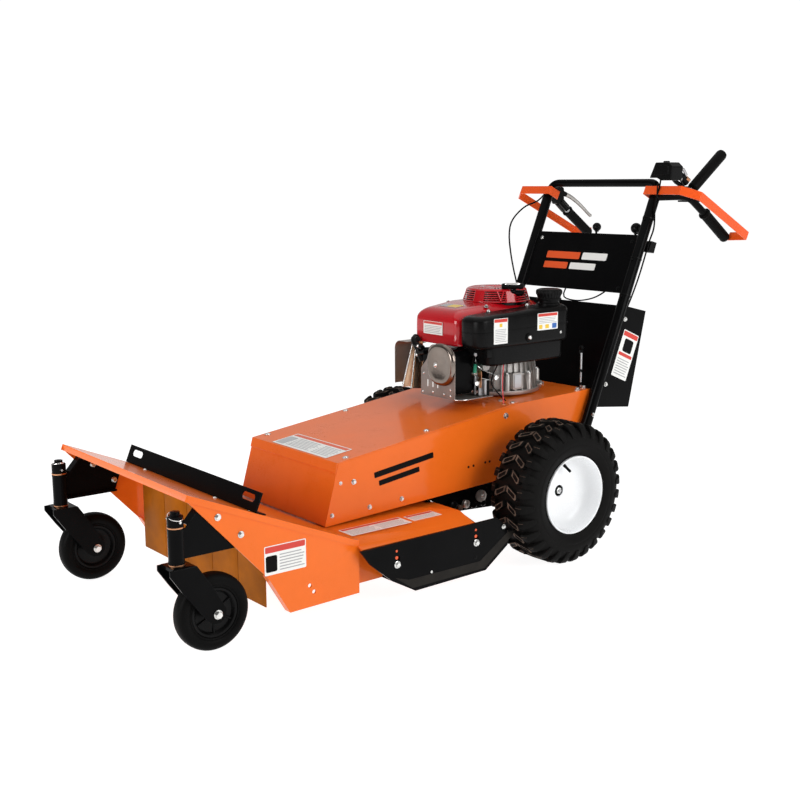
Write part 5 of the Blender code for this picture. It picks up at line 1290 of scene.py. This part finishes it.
# ---------------------------------------------------------------- stickers on the machine
def stickers():
    """Plain bands and blocks where a machine like this carries its stickers."""
    sticker("panel_sticker", (PANEL_FACE, -0.911, 0.1865), (0, 1, 0), (0, 0, 1), (0.118, 0.072),
            [(0.02, 0.76, 0.98, 0.97, "ink_red"), (0.03, 0.1, 0.3, 0.66, "ink_black"),
             *lines(0.36, 0.08, 0.96, 0.7, 6)])
    lid_run = Vector((0, LID_BACK[0] - LID_FRONT[0], LID_BACK[1] - LID_FRONT[1])).normalized()
    lid_mid = Vector((0.017, -0.61, box_top(-0.61) + 0.0037))
    sticker("lid_sticker", lid_mid, (1, 0, 0), lid_run, (0.262, 0.088),
            [(0.02, 0.8, 0.98, 0.96, "ink_orange"), (0.02, 0.08, 0.17, 0.7, "ink_silver"),
             *lines(0.2, 0.1, 0.62, 0.74, 7), *lines(0.66, 0.1, 0.97, 0.74, 7)])
    deck = 0.1881
    sticker("deck_sticker_front", (0.279, -0.59, deck), (0, 1, 0), (-1, 0, 0), (0.196, 0.062),
            [(0.02, 0.78, 0.98, 0.96, "ink_red"), *lines(0.04, 0.08, 0.48, 0.72, 6),
             *lines(0.52, 0.08, 0.97, 0.72, 6)])
    sticker("deck_sticker_rear", (0.279, -0.432, deck), (0, 1, 0), (-1, 0, 0), (0.096, 0.048),
            [(0.04, 0.74, 0.96, 0.95, "ink_red"), *lines(0.06, 0.08, 0.94, 0.66, 5)])
    sticker("shroud_sticker", (-0.009, SHROUD_FRONT - 0.0002, 0.647), (1, 0, 0), (0, 0, 1),
            (0.086, 0.038), [(0.02, 0.78, 0.98, 0.97, "ink_red"), *lines(0.05, 0.08, 0.95, 0.7, 5)])
    sticker("shroud_top_sticker", (-0.006, -0.085, 0.708), (1, 0, 0), (0, 1, 0.1), (0.08, 0.038),
            [(0.02, 0.08, 0.42, 0.92, "ink_grey"), (0.44, 0.08, 0.98, 0.92, "ink_yellow")],
            base="ink_silver")
    tank_face = 0.1993
    sticker("tank_sticker_front", (tank_face, -0.077, 0.65), (0, 1, 0), (0, 0, 1), (0.054, 0.073),
            [(0.03, 0.85, 0.97, 0.98, "ink_red"), (0.4, 0.66, 0.6, 0.8, "ink_yellow"),
             *lines(0.1, 0.06, 0.92, 0.6, 8)])
    sticker("tank_sticker_rear", (tank_face, 0.111, 0.665), (0, 1, 0), (0, 0, 1), (0.084, 0.05),
            [(0.03, 0.8, 0.97, 0.97, "ink_red"), (0.08, 0.08, 0.24, 0.32, "ink_yellow"),
             (0.38, 0.08, 0.56, 0.32, "ink_yellow"), (0.72, 0.06, 0.94, 0.36, "ink_blue"),
             *lines(0.08, 0.38, 0.94, 0.76, 4)])
    sticker("shield_sticker", (UPRIGHT_X + 0.0003, 0.421, 0.5378), (0, 1, -LEAN), UPWARDS, (0.073, 0.148),
            [(0.03, 0.88, 0.97, 0.98, "ink_red"), (0.22, 0.56, 0.8, 0.84, "ink_black"),
             (0.06, 0.46, 0.94, 0.53, "ink_red"), *lines(0.1, 0.05, 0.92, 0.42, 7)])
    sticker("housing_bars", (BOX_X, -0.437, 0.301), (0, 1, 0.13), (0, -0.13, 1), (0.206, 0.066),
            [(0.0, 0.62, 1.0, 0.86, "ink_black"), (0.06, 0.24, 0.74, 0.46, "ink_black")], base="ink_black")
    front = Vector((0, -1, LEAN)).normalized()
    at = Vector((-0.018, upright_y(0.8155), 0.8155)) + front * 0.0016
    sticker("panel_bars", at, (1, 0, 0), UPWARDS, (0.262, 0.074),
            [(0.0, 0.58, 0.56, 0.9, "ink_orange"), (0.6, 0.58, 1.0, 0.9, "label"),
             (0.0, 0.12, 0.4, 0.42, "ink_orange"), (0.44, 0.12, 0.86, 0.42, "label")], base="ink_black")


# ---------------------------------------------------------------- studio
def studio():
    """White floor, soft boxes and the camera."""
    floor = bpy.data.meshes.new("floor")
    reach = 30.0
    floor.from_pydata([(-reach, -reach, 0), (reach, -reach, 0), (reach, reach, 0), (-reach, reach, 0)], [],
                      [(0, 1, 2, 3)])
    ground = bpy.data.objects.new("floor", floor)
    bpy.context.scene.collection.objects.link(ground)
    ground.location.z = -0.0006
    paper = coat("studio_floor", (0.36, 0.36, 0.36), 0.9, spread=0.005, grain=0.02, shine=0.0)
    glowing = paper.node_tree.nodes["Principled BSDF"]
    glowing.inputs["Emission Color"].default_value = (1, 1, 1, 1)
    glowing.inputs["Emission Strength"].default_value = 0.93
    floor.materials.append(paper)
    world = bpy.data.worlds.new("studio")
    bpy.context.scene.world = world
    world.use_nodes = True
    tree = world.node_tree
    rays = add(tree, "LightPath")
    glow = tree.nodes["Background"]
    place = add(tree, "TexCoord")
    towards = add(tree, "VectorMath", operation="DOT_PRODUCT")
    towards.inputs[1].default_value = (-0.62, 0.78, 0.05)
    tree.links.new(place.outputs["Generated"], towards.inputs[0])
    room = add(tree, "MapRange", {"From Min": -0.2, "From Max": 0.9, "To Min": 0.1, "To Max": 0.6})
    tree.links.new(towards.outputs["Value"], room.inputs["Value"])
    level = add(tree, "Mix", data_type="FLOAT")
    level.inputs[3].default_value = 1.05
    tree.links.new(rays.outputs["Is Camera Ray"], level.inputs["Factor"])
    tree.links.new(room.outputs["Result"], level.inputs[2])
    tree.links.new(level.outputs[0], glow.inputs["Strength"])
    glow.inputs["Color"].default_value = (1, 1, 1, 1)
    soft_box("overhead", (0.2, 0.0, 3.6), target=(0, 0.0, 0.3), size=(5.0, 5.0), power=54)
    soft_box("left_wall", (3.6, 0.9, 1.9), target=(0, 0, 0.4), size=(2.6, 2.2), power=80)
    soft_box("front_fill", (0.2, -4.4, 1.6), target=(0, 0, 0.4), size=(2.6, 1.8), power=96)
    camera()


def soft_box(name, place, target, size, power):
    """A rectangular soft light that looks at a point."""
    light = bpy.data.lights.new(name, "AREA")
    light.shape = "RECTANGLE"
    light.size, light.size_y = size
    light.energy = power
    obj = bpy.data.objects.new(name, light)
    bpy.context.scene.collection.objects.link(obj)
    obj.location = place
    obj.rotation_euler = (Vector(target) - Vector(place)).to_track_quat("-Z", "Y").to_euler()


def camera():
    """Three-quarter view of the front and the left side."""
    azimuth, height, roll = math.radians(51.644), math.radians(10.358), math.radians(-0.296)
    level = math.cos(height)
    back = Vector((math.sin(azimuth) * level, -math.cos(azimuth) * level, math.sin(height)))
    right = Vector((0, 0, 1)).cross(back).normalized()
    up = back.cross(right)
    turned_right = right * math.cos(roll) + up * math.sin(roll)
    turned_up = up * math.cos(roll) - right * math.sin(roll)
    lens = bpy.data.cameras.new("camera")
    lens.lens, lens.sensor_width = 53.57, 36.0
    obj = bpy.data.objects.new("camera", lens)
    bpy.context.scene.collection.objects.link(obj)
    turn = Matrix((turned_right, turned_up, back)).transposed().to_4x4()
    place = Vector((2.6623, -2.1985, 1.0684))
    obj.matrix_world = Matrix.Translation(place) @ turn
    bpy.context.scene.camera = obj
    bpy.context.scene.view_settings.view_transform = "Standard"


studio()
dress_deck()
dress_casters()
rear_wheels()
dress_housing()
inner_drive()
engine()
handle()
stickers()
